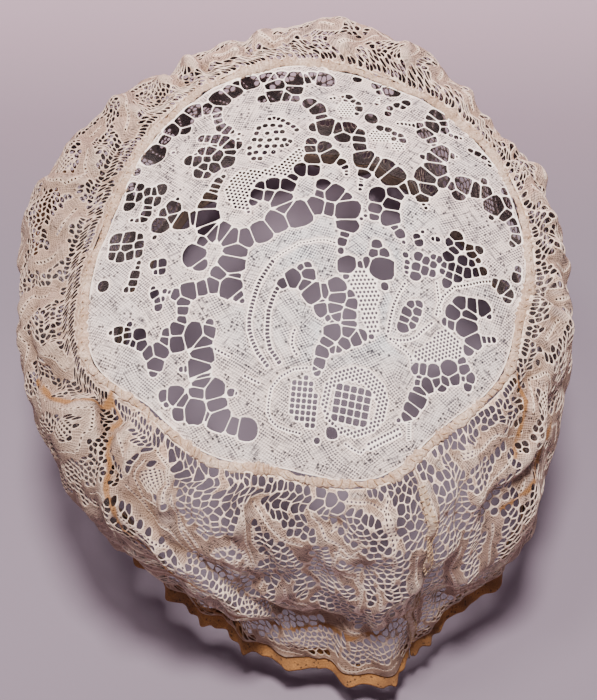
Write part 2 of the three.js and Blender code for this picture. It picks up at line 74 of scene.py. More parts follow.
def leaningUp(elevation):
    return np.array([0.0, math.cos(math.radians(elevation)), math.sin(math.radians(elevation))])


crownUp = leaningUp(90 - crown["tilt"])
crownOut = np.cross(xAxis, crownUp)
crownMiddle = np.array(crown["middle"])
hemUp = leaningUp(opening["tilt"])
hemOut = np.cross(xAxis, hemUp)
girthPerDegree = math.pi*(crown["radius"] + opening["halfLength"])/360


def unit(vectors):
    return vectors/np.maximum(np.linalg.norm(vectors, axis=-1, keepdims=True), 1e-12)


def smoothStep(value, low, high):
    share = np.clip((value - low)/(high - low), 0, 1)
    return share*share*(3 - 2*share)


def aroundTable(rows, column, angle):
    table = np.array(rows, float)
    knots, values, count = table[:, 0], table[:, column], len(rows)
    turn = np.mod(angle, 360)
    here = np.mod(np.searchsorted(knots, turn, side="right") - 1, count)
    before, following, after = (here - 1) % count, (here + 1) % count, (here + 2) % count
    width = np.mod(knots[following] - knots[here], 360)
    share = np.mod(turn - knots[here], 360)/width
    slopeHere = (values[following] - values[before])/np.mod(knots[following] - knots[before], 360)*width
    slopeNext = (values[after] - values[here])/np.mod(knots[after] - knots[here], 360)*width
    keep = 2*share**3 - 3*share**2 + 1
    return (keep*values[here] + (share**3 - 2*share**2 + share)*slopeHere + (1 - keep)*values[following]
            + (share**3 - share**2)*slopeNext)


def spoke(angle, up):
    turn = np.radians(angle)
    return np.cos(turn)[..., None]*xAxis + np.sin(turn)[..., None]*up


def wave(count, angle, drift):
    return np.cos(np.radians(count*angle) + drift)


def seamRadius(angle):
    return crown["radius"]*(1 + aroundTable(seamOutline, 1, angle))


def seamPoint(angle, outward):
    return crownMiddle + (seamRadius(angle) + outward)[..., None]*spoke(angle, crownUp)


def hemPoint(angle):
    turn = np.radians(angle)
    grow = 1 + aroundTable(hemOutline, 1, angle)
    across = grow*opening["halfWidth"]*np.cos(turn)
    along = grow*opening["halfLength"]*np.sin(turn)
    return across[..., None]*xAxis + along[..., None]*hemUp


# A soft random surface: waves of many directions between two lengths
def ripples(x, y, longest, shortest, height, seed, count=24):
    chance = np.random.default_rng(seed)
    total = np.zeros(np.shape(x))
    for _ in range(count):
        length = math.exp(chance.uniform(math.log(shortest), math.log(longest)))
        heading, start = chance.uniform(0, 2*math.pi, 2)
        total += np.sin((x*math.cos(heading) + y*math.sin(heading))*2*math.pi/length + start)*(length/longest)**0.5
    return total*height*math.sqrt(2/count)


def bandBase(angle, drop):
    depth = bandForm["depth"]
    start, end = seamPoint(angle, bandForm["seamOffset"]), hemPoint(angle)
    share = [depth*aroundTable(bandSwell, column, angle)[..., None] for column in range(1, 5)]
    leave = start + share[0]*spoke(angle, crownUp) + share[1]*crownOut
    arrive = end + share[2]*spoke(angle, hemUp) + share[3]*hemOut
    t = np.clip(drop, 0, 1)[..., None]
    point = (1 - t)**3*start + 3*(1 - t)**2*t*leave + 3*(1 - t)*t**2*arrive + t**3*end
    return point + (np.maximum(drop - 1, 0)*depth)[..., None]*unit(end - arrive)


def angleApart(angle, other):
    return np.mod(angle - other + 180, 360) - 180


def puffHeight(angle, drop):
    height = 0
    for middle, level, halfWidth, halfHeight, rise in bandPuffs:
        apart = (angleApart(angle, middle)/halfWidth)**2 + ((drop - level)/halfHeight)**2
        height = height + bandForm["depth"]*rise*np.exp(-apart/2)
    return height


def foldHeight(fold, angle, drop):
    fromAngle, fromDrop, toAngle, toDrop, width, rise, flap = fold
    depth = bandForm["depth"]
    alongX, alongY = angleApart(toAngle, fromAngle)*girthPerDegree, (toDrop - fromDrop)*depth
    x, y = angleApart(angle, fromAngle)*girthPerDegree, (drop - fromDrop)*depth
    length = math.hypot(alongX, alongY)
    along = np.clip((x*alongX + y*alongY)/length**2, 0, 1)
    across = (x*alongY - y*alongX)/length
    away = np.hypot(x - along*alongX, y - along*alongY)/(width*depth)
    side = 1 - smoothStep(across, -bandForm["flapEdge"], bandForm["flapEdge"]) if flap else 1
    return depth*rise*np.exp(-away**2/2)*side


gathers = {
    "pleats": 84, "height": (1.2, 6.4), "halfWidth": (.7, 1.7), "reach": (.35, 1.15), "lean": 3.5, "seed": 11,
    "nape": 265.0, "napeWidth": 55.0, "left": 178.0, "leftWidth": 48.0, "elsewhere": .42, "billow": 1.1,
    "ruffles": 30, "ruffleHeight": 2.2, "ruffleReach": .17, "softFolds": 11, "softFoldHeight": 1.8,
    "smallest": .3, "wrinkle": .75, "crumple": .5, "stretch": .4, "reliefReach": 7.0, "inward": 1.6,
}


# Pleats start at the seam, each with its own width and reach; ruffles grow towards the hem
def gatherHeight(angle, drop):
    chance = np.random.default_rng(gathers["seed"])
    inside = np.clip(drop, 0, 1)
    height = 0
    for index in range(gathers["pleats"]):
        middle = (index + chance.uniform(-.48, .48))*360/gathers["pleats"]
        low, high = gathers["height"]
        rise, halfWidth = low + (high - low)*chance.uniform(0, 1)**2, chance.uniform(*gathers["halfWidth"])
        atNape = math.exp(-(float(angleApart(middle, gathers["nape"]))/gathers["napeWidth"])**2)
        reach = chance.uniform(*gathers["reach"])*(gathers["elsewhere"] + (1 - gathers["elsewhere"])*atNape)
        lean = chance.uniform(-1, 1)*gathers["lean"]
        apart = angleApart(angle, middle + lean*inside)/(halfWidth*(1 + inside))
        height = height + rise*np.exp(-apart**2/2 - (inside/reach)**2)
    atHem = np.exp(-((1 - inside)/gathers["ruffleReach"])**2)
    drift = .9*wave(3, angle, 1) + .7*wave(7, angle, 2)
    ruffle = gathers["ruffleHeight"]*atHem*wave(gathers["ruffles"], angle, drift)*(.7 + .3*wave(5, angle, 0))
    between = np.sin(math.pi*inside)
    soft = gathers["softFoldHeight"]*between*wave(gathers["softFolds"], angle, drift + 2*inside)
    return height + ruffle + soft


# The mean height of the cloth round each place
def meanAround(height, reach):
    total = height
    for axis in (0, 1):
        margins = ((reach, reach), (0, 0)) if axis == 0 else ((0, 0), (reach, reach))
        padded = np.pad(total, margins, mode="wrap" if axis == 0 else "edge")
        run = np.cumsum(np.insert(padded, 0, 0, axis=axis), axis=axis)
        size = 2*reach + 1
        upper = np.take(run, range(size, run.shape[axis]), axis)
        lower = np.take(run, range(run.shape[axis] - size), axis)
        total = (upper - lower)/size
    return total


# The folded band as a grid of places, evenly spaced on the flat cloth both ways
def bandSurface():
    rows = bandForm["rows"] + bandForm["rowsPastHem"]
    angles = bandForm["startAngle"] + np.linspace(0, 360, bandForm["columns"] + 1)
    drops = np.arange(rows + 1)/bandForm["rows"]
    angle, drop = np.meshgrid(angles, drops, indexing="ij")
    base = bandBase(angle, drop)
    normal = unit(np.cross(np.gradient(base, axis=1), np.gradient(base, axis=0)))
    clear = smoothStep(drop, 0, .08)
    gathered = gatherHeight(angle, drop)
    gathered -= gathered.mean(axis=0)
    height = gathered*(gathers["smallest"] + (1 - gathers["smallest"])*clear)
    height += clear*(puffHeight(angle, drop) + sum(foldHeight(fold, angle, drop) for fold in bandFolds))
    acrossFlat, downFlat = angle*girthPerDegree, drop*bandForm["depth"]
    atLeft = np.exp(-(angleApart(angle, gathers["left"])/gathers["leftWidth"])**2)
    wrinkles = ripples(acrossFlat, downFlat*gathers["stretch"], 26, 6, 1, 5)
    crumples = ripples(acrossFlat, downFlat, 24, 6, 1, 9)
    height += clear*(gathers["wrinkle"]*wrinkles + gathers["crumple"]*atLeft*crumples)
    height += clear*ripples(acrossFlat, downFlat, 46, 15, gathers["billow"], 21)
    height -= gathers["inward"]*np.sin(math.pi*np.clip(drop, 0, 1))
    height[-1] = height[0]
    relief = height - meanAround(height, int(gathers["reliefReach"]*bandForm["columns"]/bandForm["flatLength"]))
    place = np.concatenate([base + height[..., None]*normal, relief[..., None]], axis=2)
    place[-1] = place[0]

    steps = np.linalg.norm(np.diff(place[..., :3], axis=1), axis=2)
    run = np.concatenate([np.zeros((len(angles), 1)), np.cumsum(steps, axis=1)], axis=1)
    hem = bandForm["rows"]
    depths = run[:, hem].copy()
    even = np.empty_like(place)
    for column in range(len(angles)):
        target = run[column, hem]*drops
        for axis in range(4):
            even[column, :, axis] = np.interp(target, run[column], place[column, :, axis])
    steps = np.linalg.norm(np.diff(even[..., :3], axis=0), axis=2)
    run = np.concatenate([np.zeros((1, rows + 1)), np.cumsum(steps, axis=0)], axis=0)
    shares = np.linspace(0, 1, len(angles))
    grid = np.empty_like(even)
    for row in range(rows + 1):
        for axis in range(4):
            grid[:, row, axis] = np.interp(shares*run[-1, row], run[:, row], even[:, row, axis])
    around = np.array([np.interp(shares*run[-1, row], run[:, row], angles) for row in (0, hem//2, hem)]).mean(0)
    reach = bandForm["smoothing"]
    looped = np.concatenate([depths[-reach:], depths, depths[:reach]])
    smooth = np.convolve(looped, np.ones(reach)/reach, "same")[reach:-reach]
    depthAt = np.interp(around, angles, smooth)
    relief, grid = grid[..., 3:], grid[..., :3]
    normals = unit(np.cross(np.gradient(grid, axis=1), np.gradient(grid, axis=0)))
    return grid, normals, relief, depthAt, around, run[-1]


bandGrid, bandNormals, bandRelief, bandDepths, bandAngles, bandGirths = bandSurface()
print("band surface", bandGrid.shape, "depth", bandDepths.min(), bandDepths.max(), "girth", bandGirths[0],
      bandGirths[bandForm["rows"]//2], bandGirths[bandForm["rows"]])


def bandDepth(x):
    return np.interp(x, np.linspace(0, bandForm["flatLength"], len(bandDepths)), bandDepths)


# The place along the flat band, in millimetres, that lies at an angle
def flatX(angle):
    turn = bandForm["startAngle"] + np.mod(angle - bandForm["startAngle"], 360)
    return float(np.interp(turn, bandAngles, np.linspace(0, bandForm["flatLength"], len(bandAngles))))


def onBand(grid, x, y):
    u = np.clip(x/bandForm["flatLength"], 0, 1)*(grid.shape[0] - 1)
    v = np.clip(y/bandDepth(x)*bandForm["rows"], 0, grid.shape[1] - 1)
    i = np.minimum(u.astype(int), grid.shape[0] - 2)
    j = np.minimum(v.astype(int), grid.shape[1] - 2)
    a, b = (u - i)[:, None], (v - j)[:, None]
    return (1 - a)*((1 - b)*grid[i, j] + b*grid[i, j + 1]) + a*((1 - b)*grid[i + 1, j] + b*grid[i + 1, j + 1])


def bandPlace(x, y, outward):
    return onBand(bandGrid, x, y) + np.broadcast_to(outward, x.shape)[:, None]*unit(onBand(bandNormals, x, y))


def crownPlace(x, y, outward):
    angle, reach = np.degrees(np.arctan2(y, x)), np.hypot(x, y)
    rim = seamRadius(angle)
    share = reach/rim
    radial = spoke(angle, crownUp)
    normal = unit(crownOut + (2*crown["dome"]*share/rim)[:, None]*radial)
    lift = crown["dome"]*(1 - share**2) + share**6*(.8*wave(12, angle, 0) + .45*wave(37, angle, wave(5, angle, 0)))
    lift += ripples(x, y, 40, 12, .35, 8)
    return (crownMiddle + reach[:, None]*radial + lift[:, None]*crownOut
            + np.broadcast_to(outward, x.shape)[:, None]*normal)


# Holes. Each is a row: middle x and y, half length, half width, turn in radians and squareness.
# A hole is its own rounded form, cut back where the thread to its neighbours needs the room.
def hole(x, y, reach):
    return (x, y, reach, reach, 0.0, 2.3)


# Holes in a row along a line of points
def along(points, pitch, halfLength, halfWidth, squareness=3.0):
    line = np.array(points, float)
    steps = np.linalg.norm(np.diff(line, axis=0), axis=1)
    run = np.concatenate([[0], np.cumsum(steps)])
    count = max(int(round(run[-1]/pitch)), 1)
    rows = []
    for target in (np.arange(count) + .5)*run[-1]/count:
        x, y = np.interp(target, run, line[:, 0]), np.interp(target, run, line[:, 1])
        nearX, nearY = np.interp(target + .01*pitch, run, line[:, 0]), np.interp(target + .01*pitch, run, line[:, 1])
        rows.append((x, y, halfLength, halfWidth, math.atan2(nearY - y, nearX - x), squareness))
    return rows


def insidePolygon(x, y, corners):
    found = np.zeros(np.shape(x), bool)
    for (ax, ay), (bx, by) in zip(corners, corners[1:] + corners[:1]):
        crosses = (ay > y) != (by > y)
        found ^= crosses & (x < (bx - ax)*(y - ay)/((by - ay) or 1e-9) + ax)
    return found


# A regular net of holes where inside is true
def net(inside, box, pitch, reach, turn=0.0, squareness=2.0, staggered=True, stretch=1.0):
    x0, y0, x1, y1 = box
    middleX, middleY = (x0 + x1)/2, (y0 + y1)/2
    half = math.hypot(x1 - x0, y1 - y0)/2
    rowPitch = pitch*(.866 if staggered else 1)*stretch
    count, rowCount = int(half/pitch) + 1, int(half/rowPitch) + 1
    row, column = np.meshgrid(np.arange(-rowCount, rowCount + 1), np.arange(-count, count + 1), indexing="ij")
    u = (column + (np.mod(row, 2)/2 if staggered else 0))*pitch
    v = row*rowPitch
    x = middleX + u*math.cos(turn) - v*math.sin(turn)
    y = middleY + u*math.sin(turn) + v*math.cos(turn)
    keep = inside(x, y)
    return [(a, b, reach, reach*stretch, turn, squareness) for a, b in zip(x[keep], y[keep])]


def treeOf(points):
    tree = kdtree.KDTree(len(points))
    for index, (x, y) in enumerate(points):
        tree.insert((x, y, 0), index)
    tree.balance()
    return tree


# How holes share the room: neighbours looked at, how far a side reaches out towards one and from
# what closeness, the least facing that counts, corner softness, least hole, corners and far away
squeeze = {
    "nearCount": 26, "reachOut": .4, "closeFrom": 1.6, "closeOver": .5, "facing": .05, "softness": .06,
    "smallest": .1, "fewest": 6, "most": 20, "far": 1e6,
}


# A ring of flat points for every hole. limit(x, y, headingX, headingY) is the room to the cloth's edge.
# Holes that are squeezed out by their neighbours leave the chart, and the rest take their room.
def holeOutlines(rows, brideHalf, edgeStep, limit):
    for _ in range(4):
        rings, middles, kept = squeezedOutlines(rows, brideHalf, edgeStep, limit)
        if len(kept) == len(rows):
            break
        rows = np.array(rows, float)[kept]
    return rings, middles


def squeezedOutlines(rows, brideHalf, edgeStep, limit):
    seeds = np.array(rows, float)
    middles = seeds[:, :2]
    tree = treeOf(middles)
    nearCount = min(squeeze["nearCount"], len(seeds))
    near = np.array([[found[1] for found in tree.find_n((x, y, 0), nearCount)] for x, y in middles])
    isSelf = near == np.arange(len(seeds))[:, None]
    apart = middles[near] - middles[:, None]
    distance = np.linalg.norm(apart, axis=2)
    distance[isSelf | (distance < 1e-6)] = squeeze["far"]
    power = np.minimum(seeds[:, 2], seeds[:, 3])**2
    room = (distance**2 + power[:, None] - power[near])/(2*distance) - brideHalf
    room[isSelf] = squeeze["far"]
    together = np.sqrt(power)[:, None] + np.sqrt(power[near])
    closeness = np.clip((squeeze["closeFrom"]*together - distance)/(squeeze["closeOver"]*together), 0, 1)
    counts = np.round(2*math.pi*np.maximum(seeds[:, 2], seeds[:, 3])/edgeStep)
    counts = np.clip(counts, squeeze["fewest"], squeeze["most"]).astype(int)
    outlines = [None]*len(seeds)
    for count in np.unique(counts):
        group = np.nonzero(counts == count)[0]
        x, y, halfLength, halfWidth, turn, squareness = (column[:, None] for column in seeds[group].T)
        heading = turn + 2*math.pi*(np.arange(count) + .5)/count
        dirX, dirY = np.cos(heading), np.sin(heading)
        local = heading - turn
        own = ((np.abs(np.cos(local))/halfLength)**squareness
               + (np.abs(np.sin(local))/halfWidth)**squareness)**(-1/squareness)
        toward = (dirX[..., None]*apart[group][:, None, :, 0] + dirY[..., None]*apart[group][:, None, :, 1])
        toward = toward/distance[group][:, None, :]
        drawnOut = (closeness[group][:, None, :]*np.clip(toward, 0, 1)**2).max(axis=2)
        own = own*(1 + squeeze["reachOut"]*drawnOut)
        facing = squeeze["facing"]
        blocked = np.where(toward > facing, room[group][:, None, :]/np.maximum(toward, facing), squeeze["far"])
        edge = limit(x, y, dirX, dirY) - brideHalf
        softness = squeeze["softness"]*np.minimum(halfLength, halfWidth)
        options = np.concatenate([own[..., None], blocked, edge[..., None]], axis=2)
        least = options.min(axis=2)
        soft = least - softness*np.log(np.exp(-(options - least[..., None])/softness[..., None]).sum(axis=2))
        good = soft.min(axis=1) > squeeze["smallest"]
        for index, ok, ringX, ringY in zip(group, good, x + soft*dirX, y + soft*dirY):
            if ok:
                outlines[index] = np.column_stack([ringX, ringY])
    kept = [index for index, ring in enumerate(outlines) if ring is not None]
    return [outlines[index] for index in kept], middles[kept], kept


# The upper face, the lower one count points further on, and the rims between them
def closedSheet(top, count):
    sides = np.concatenate([top[:, [0, 1]], top[:, [1, 2]], top[:, [2, 0]]])
    rimSides = sides[~np.isin(sides[:, 0]*count + sides[:, 1], sides[:, 1]*count + sides[:, 0])]
    p, q = rimSides[:, 0], rimSides[:, 1]
    rims = np.concatenate([np.column_stack([q, p, p + count]), np.column_stack([q, p + count, q + count])])
    return np.concatenate([top, top[:, ::-1] + count, rims])


def gridTriangles(columns, rows):
    i, j = np.meshgrid(np.arange(columns), np.arange(rows), indexing="ij")
    a, b = (i*(rows + 1) + j).ravel(), ((i + 1)*(rows + 1) + j).ravel()
    c, d = b + 1, a + 1
    return np.concatenate([np.column_stack([a, c, b]), np.column_stack([a, d, c])])


# Triangulates the cloth round its holes and returns it as two faces and the rims between them
def laceCloth(rings, middles, outline, inside, box, place, sizes, flip):
    ringPoints = np.concatenate(rings)
    owners = np.repeat(np.arange(len(rings)), [len(ring) for ring in rings])
    reach = np.array([np.linalg.norm(ring - middle, axis=1).max() for ring, middle in zip(rings, middles)])
    edgeTree, middleTree = treeOf(np.concatenate([ringPoints, outline])), treeOf(middles)

    def free(points, gap):
        kept, away = [], []
        for x, y in points:
            distance = edgeTree.find((x, y, 0))[2]
            if distance < gap:
                continue
            if all(found[2] > reach[found[1]] for found in middleTree.find_n((x, y, 0), 5)):
                kept.append((x, y))
                away.append(distance)
        return np.array(kept).reshape(-1, 2), np.array(away)

    collar = np.concatenate([middle + (ring - middle)*(1 + sizes["collar"]/np.maximum(
        np.linalg.norm(ring - middle, axis=1, keepdims=True), .1)) for ring, middle in zip(rings, middles)])
    collar = collar[inside(collar[:, 0], collar[:, 1])]
    cells = np.unique(np.round(collar/(.75*sizes["collar"])).astype(int), axis=0, return_index=True)[1]
    collar, collarAway = free(collar[np.sort(cells)], .8*sizes["collar"])
    step = sizes["fillStep"]
    gridX, gridY = np.meshgrid(np.arange(box[0], box[2], step), np.arange(box[1], box[3], step*.866))
    gridX = gridX + np.mod(np.arange(len(gridX)), 2)[:, None]*step/2
    fill = np.column_stack([gridX.ravel(), gridY.ravel()])
    fill = fill[inside(fill[:, 0], fill[:, 1])]
    fill, fillAway = free(fill, .62*step)

    points = np.concatenate([ringPoints, outline, collar, fill])
    owner = np.concatenate([owners, np.full(len(outline), -2), np.full(len(collar) + len(fill), -1)])
    away = np.concatenate([np.zeros(len(ringPoints) + len(outline)), collarAway, fillAway])
    edges, start = [], 0
    for ring in [*rings, outline]:
        count = len(ring)
        edges += [(start + k, start + (k + 1) % count) for k in range(count)]
        start += count
    vertices, _, faces, origins, _, _ = delaunay_2d_cdt([Vector(p) for p in points.tolist()], edges, [], 0, 1e-5)
    flat = np.array([tuple(v) for v in vertices])
    first = np.array([origin[0] if origin else -1 for origin in origins])
    owner = np.where(first >= 0, owner[first], -1)
    away = np.where(first >= 0, away[first], 0)
    triangles = np.array(faces)
    own = owner[triangles]
    same = (own[:, 0] == own[:, 1]) & (own[:, 1] == own[:, 2])
    centre = flat[triangles].mean(axis=1)
    outside = same & (own[:, 0] == -2) & ~inside(centre[:, 0], centre[:, 1])
    triangles = triangles[~(same & (own[:, 0] >= 0)) & ~outside]
    used, triangles = np.unique(triangles, return_inverse=True)
    triangles = triangles.reshape(-1, 3)
    flat, away = flat[used], away[used]

    rise = sizes["cordRise"]*np.exp(-((away - sizes["collar"])/(.5*sizes["collar"]))**2)
    half = sizes["thickness"]/2
    x, y = flat[:, 0], flat[:, 1]
    upper, lower = place(x, y, half + rise), place(x, y, np.full(len(x), -half))
    count = len(flat)
    closed = closedSheet(triangles, count)
    return {
        "points": np.concatenate([upper, lower])*metre, "triangles": closed[:, ::-1] if flip else closed,
        "flat": np.tile(flat, (2, 1)), "away": np.tile(away, 2), "inner": np.repeat([0.0, 1.0], count),
    }


def vertexNormals(points, triangles):
    a, b, c = (points[triangles[:, k]] for k in range(3))
    face = np.cross(b - a, c - a)
    total = np.zeros_like(points)
    for k in range(3):
        np.add.at(total, triangles[:, k], face)
    return unit(total)


def makeMesh(name, points, triangles, attributes=None, flat=None, normals=None):
    mesh = bpy.data.meshes.new(name)
    mesh.from_pydata(points.tolist(), [], triangles.tolist())
    mesh.polygons.foreach_set("use_smooth", [True]*len(mesh.polygons))
    for label, values in (attributes or {}).items():
        attribute = mesh.attributes.new(label, "FLOAT", "POINT")
        attribute.data.foreach_set("value", np.asarray(values, np.float32))
    if flat is not None:
        layer = mesh.uv_layers.new(name="flat")
        corner = np.empty(len(mesh.loops), np.int32)
        mesh.loops.foreach_get("vertex_index", corner)
        layer.data.foreach_set("uv", (flat[corner]*metre).astype(np.float32).ravel())
    mesh.validate()
    if normals is not None:
        mesh.normals_split_custom_set_from_vertices(normals.tolist())
    mesh.update()
    piece = bpy.data.objects.new(name, mesh)
    bpy.context.scene.collection.objects.link(piece)
    return piece


# The cloth as one piece, or as several that meet exactly along the given flat lines
def lacePieces(name, cloth, edgesX):
    normals = vertexNormals(cloth["points"], cloth["triangles"])
    centreX = cloth["flat"][cloth["triangles"], 0].mean(axis=1)
    part = np.digitize(centreX, edgesX)
    pieces = []
    for index in range(len(edgesX) + 1):
        chosen = cloth["triangles"][part == index]
        used, triangles = np.unique(chosen, return_inverse=True)
        label = name if not len(edgesX) else f"{name}_{index + 1}"
        attributes = {label: cloth[label][used] for label in ("away", "inner", "relief", "stain", "hemward")}
        pieces.append(makeMesh(label, cloth["points"][used], triangles.reshape(-1, 3), attributes,
                               cloth["flat"][used], normals[used]))
    return pieces


# Crown lace, charted in shares of the crown's radius: x along +X, y up the slanting panel
crownLace = {
    "thickness": .5, "collar": .85, "cordRise": .14, "fillStep": 2.2, "brideHalf": .19, "edgeStep": .62,
    "edgeLoss": .8, "edgePoints": 420, "openness": 1.18, "ladderPitch": .64, "ladderLength": .9, "ladderWidth": .85,
}
# x, y, reach of single holes, by region
rimLeftTop = [
    (-.282, .921, .04), (-.362, .865, .04), (-.414, .823, .045), (-.34, .915, .02), (-.477, .771, .03),
    (-.539, .764, .04), (-.584, .716, .04), (-.637, .674, .035), (-.577, .663, .025), (-.671, .622, .025),
    (-.723, .646, .035), (-.723, .542, .05), (-.678, .521, .03), (-.647, .531, .012), (-.626, .531, .008),
    (-.744, .59, .02), (-.789, .535, .02), (-.796, .493, .012), (-.80, .458, .018), (-.421, .792, .02),
    (-.432, .757, .025), (-.426, .719, .018), (-.421, .684, .018), (-.404, .643, .022), (-.379, .625, .022),
    (-.355, .611, .012), (-.32, .594, .008), (-.324, .563, .008), (-.199, .952, .03), (-.171, .938, .03),
    (-.133, .952, .028), (-.154, .889, .04), (-.154, .823, .04), (-.067, .921, .045), (-.07, .862, .035),
    (-.112, .813, .03), (-.067, .799, .02), (-.216, .802, .022), (-.004, .931, .03)]
clusterLeft = [
    (-.494, .59, .018), (-.47, .584, .018), (-.425, .57, .024), (-.39, .556, .026), (-.362, .531, .03),
    (-.327, .531, .02), (-.435, .535, .012), (-.487, .514, .02), (-.452, .507, .026), (-.518, .497, .01),
    (-.546, .469, .024), (-.515, .465, .026), (-.461, .465, .022), (-.416, .471, .03), (-.361, .493, .024),
    (-.372, .445, .032), (-.477, .424, .024), (-.432, .42, .028), (-.498, .392, .024), (-.466, .382, .02),
    (-.821, .379, .024), (-.782, .368, .02), (-.817, .326, .024), (-.786, .319, .02), (-.765, .326, .012),
    (-.734, .333, .02), (-.705, .33, .022), (-.675, .337, .026), (-.828, .281, .024), (-.727, .285, .022),
    (-.696, .278, .02), (-.737, .25, .018), (-.741, .222, .022), (-.751, .198, .018), (-.782, .193, .01),
    (-.81, .2, .008)]
rowMiddle = [
    (-.657, .215, .02), (-.616, .229, .03), (-.595, .27, .008), (-.671, .149, .035), (-.612, .177, .025),
    (-.568, .153, .038), (-.52, .16, .028), (-.459, .153, .048), (-.454, .215, .035), (-.445, .253, .03),
    (-.43, .285, .02), (-.421, .31, .02), (-.409, .337, .018), (-.386, .361, .01), (-.445, .104, .04),
    (-.418, .08, .04), (-.39, .076, .04), (-.341, .041, .04), (-.282, .035, .04), (-.209, .062, .045),
    (-.14, .111, .045), (-.046, .146, .055), (-.101, .181, .038), (-.122, .226, .042), (-.171, .247, .03),
    (-.23, .253, .03), (-.216, .292, .022), (-.247, .215, .018), (-.157, .299, .034), (-.098, .295, .034),
    (-.074, .333, .022), (-.035, .379, .032), (-.696, .087, .01), (-.473, .038, .02), (-.876, .111, .03),
    (-.817, .101, .035), (-.772, .101, .02), (-.88, .069, .025), (-.821, .059, .03), (-.772, .062, .025),
    (-.89, .028, .02), (-.852, .017, .025), (-.81, .021, .025), (-.77, .02, .02)]
rimTop = [
    (.011, .938, .03), (.077, .924, .042), (.39, .886, .04), (.41, .934, .03), (.362, .938, .02),
    (.32, .917, .022), (.334, .865, .015), (.279, .952, .028), (.23, .945, .02), (.328, .823, .006),
    (.322, .80, .006), (.317, .785, .01)]
stemTop = [
    (.008, .764, .03), (.039, .733, .034), (.056, .705, .022), (.063, .67, .025), (.025, .615, .022),
    (.081, .625, .045), (.126, .615, .035), (.182, .625, .032), (.154, .568, .03), (.154, .535, .01),
    (.011, .531, .022), (.011, .49, .028), (.07, .493, .034), (.015, .438, .035), (.091, .458, .038),
    (.122, .441, .025), (.15, .42, .018), (.164, .396, .014), (.171, .372, .008), (.171, .356, .008),
    (.015, .377, .03), (.237, .597, .02), (.234, .559, .025), (.234, .517, .026), (.24, .479, .026),
    (.258, .441, .045), (.301, .42, .04), (.345, .399, .048), (.38, .365, .048), (.251, .363, .024),
    (.239, .333, .01), (.237, .318, .008), (.236, .302, .01), (.232, .278, .008), (.383, .312, .02),
    (.31, .253, .034), (.39, .264, .032), (.373, .215, .034), (.3, .184, .026), (.293, .146, .018),
    (.366, .146, .038), (.383, .101, .015), (.409, .069, .02), (.425, .028, .008), (.07, .292, .03),
    (.056, .25, .022), (.116, .254, .042), (.161, .226, .032), (.034, .187, .036), (.098, .174, .03),
    (.171, .167, .052), (.175, .104, .04), (.255, .146, .007), (.237, .13, .007), (.162, .052, .018),
    (.15, .014, .018), (.21, .212, .008), (.303, .01, .02)]
rightTop = [
    (.439, .299, .026), (.479, .309, .034), (.514, .264, .026), (.519, .226, .008), (.529, .208, .008),
    (.54, .38, .045), (.535, .32, .04), (.578, .424, .045), (.612, .365, .03), (.578, .479, .035),
    (.522, .486, .012), (.609, .521, .038), (.661, .514, .015), (.685, .514, .007), (.578, .57, .012),
    (.567, .597, .024), (.519, .604, .014), (.543, .632, .034), (.519, .67, .02), (.578, .681, .034),
    (.491, .67, .01), (.467, .67, .008), (.453, .67, .008), (.432, .67, .008), (.414, .668, .007),
    (.633, .667, .02), (.665, .639, .01), (.689, .632, .012), (.71, .631, .008), (.626, .705, .022),
    (.581, .726, .028), (.609, .754, .038), (.64, .799, .02), (.598, .807, .018), (.678, .382, .02),
    (.653, .344, .02), (.715, .358, .04), (.685, .302, .026), (.764, .344, .034), (.81, .34, .03),
    (.831, .312, .012), (.859, .278, .045), (.918, .306, .025), (.901, .246, .032), (.935, .212, .025),
    (.949, .177, .022), (.835, .212, .012), (.81, .4, .014), (.908, .368, .016), (.953, .125, .022),
    (.932, .097, .015), (.755, .57, .012), (.79, .556, .016), (.817, .538, .014), (.845, .514, .01),
    (.842, .493, .01)]
flowersTop = [
    (.188, .813, .018), (.16, .816, .009), (.175, .792, .012), (.206, .791, .014), (.23, .778, .014),
    (.232, .745, .018), (.223, .712, .01), (.105, .802, .008), (.119, .806, .008), (.289, .689, .026),
    (.378, .764, .014), (.414, .786, .015), (.459, .806, .018), (.44, .775, .014), (.369, .728, .015),
    (.331, .634, .016), (.366, .627, .016), (.395, .606, .012), (.425, .596, .013), (.39, .573, .012),
    (.432, .568, .016)]
flowerRight = [
    (.484, .062, .015), (.494, .035, .018), (.512, .09, .008), (.56, .059, .01), (.578, .059, .012),
    (.668, .087, .026), (.637, .052, .02), (.678, .048, .024), (.654, .021, .02), (.727, .038, .018),
    (.772, .038, .018), (.737, .01, .02), (.49, -.031, .018), (.525, -.049, .016), (.557, -.063, .014),
    (.48, -.085, .018), (.519, -.096, .018), (.551, -.106, .015), (.475, -.125, .02), (.56, -.028, .012),
    (.585, -.038, .014), (.491, -.01, .01), (.626, -.021, .022), (.609, -.059, .014), (.64, -.063, .018),
    (.598, -.09, .012), (.63, -.104, .016), (.667, -.111, .018), (.618, -.142, .02), (.678, -.073, .02),
    (.713, -.08, .022), (.751, -.076, .018), (.786, -.066, .018), (.696, -.031, .022), (.731, -.035, .016),
    (.765, -.017, .012), (.432, -.031, .012), (.439, -.066, .01), (.435, -.09, .01), (.435, -.111, .008)]
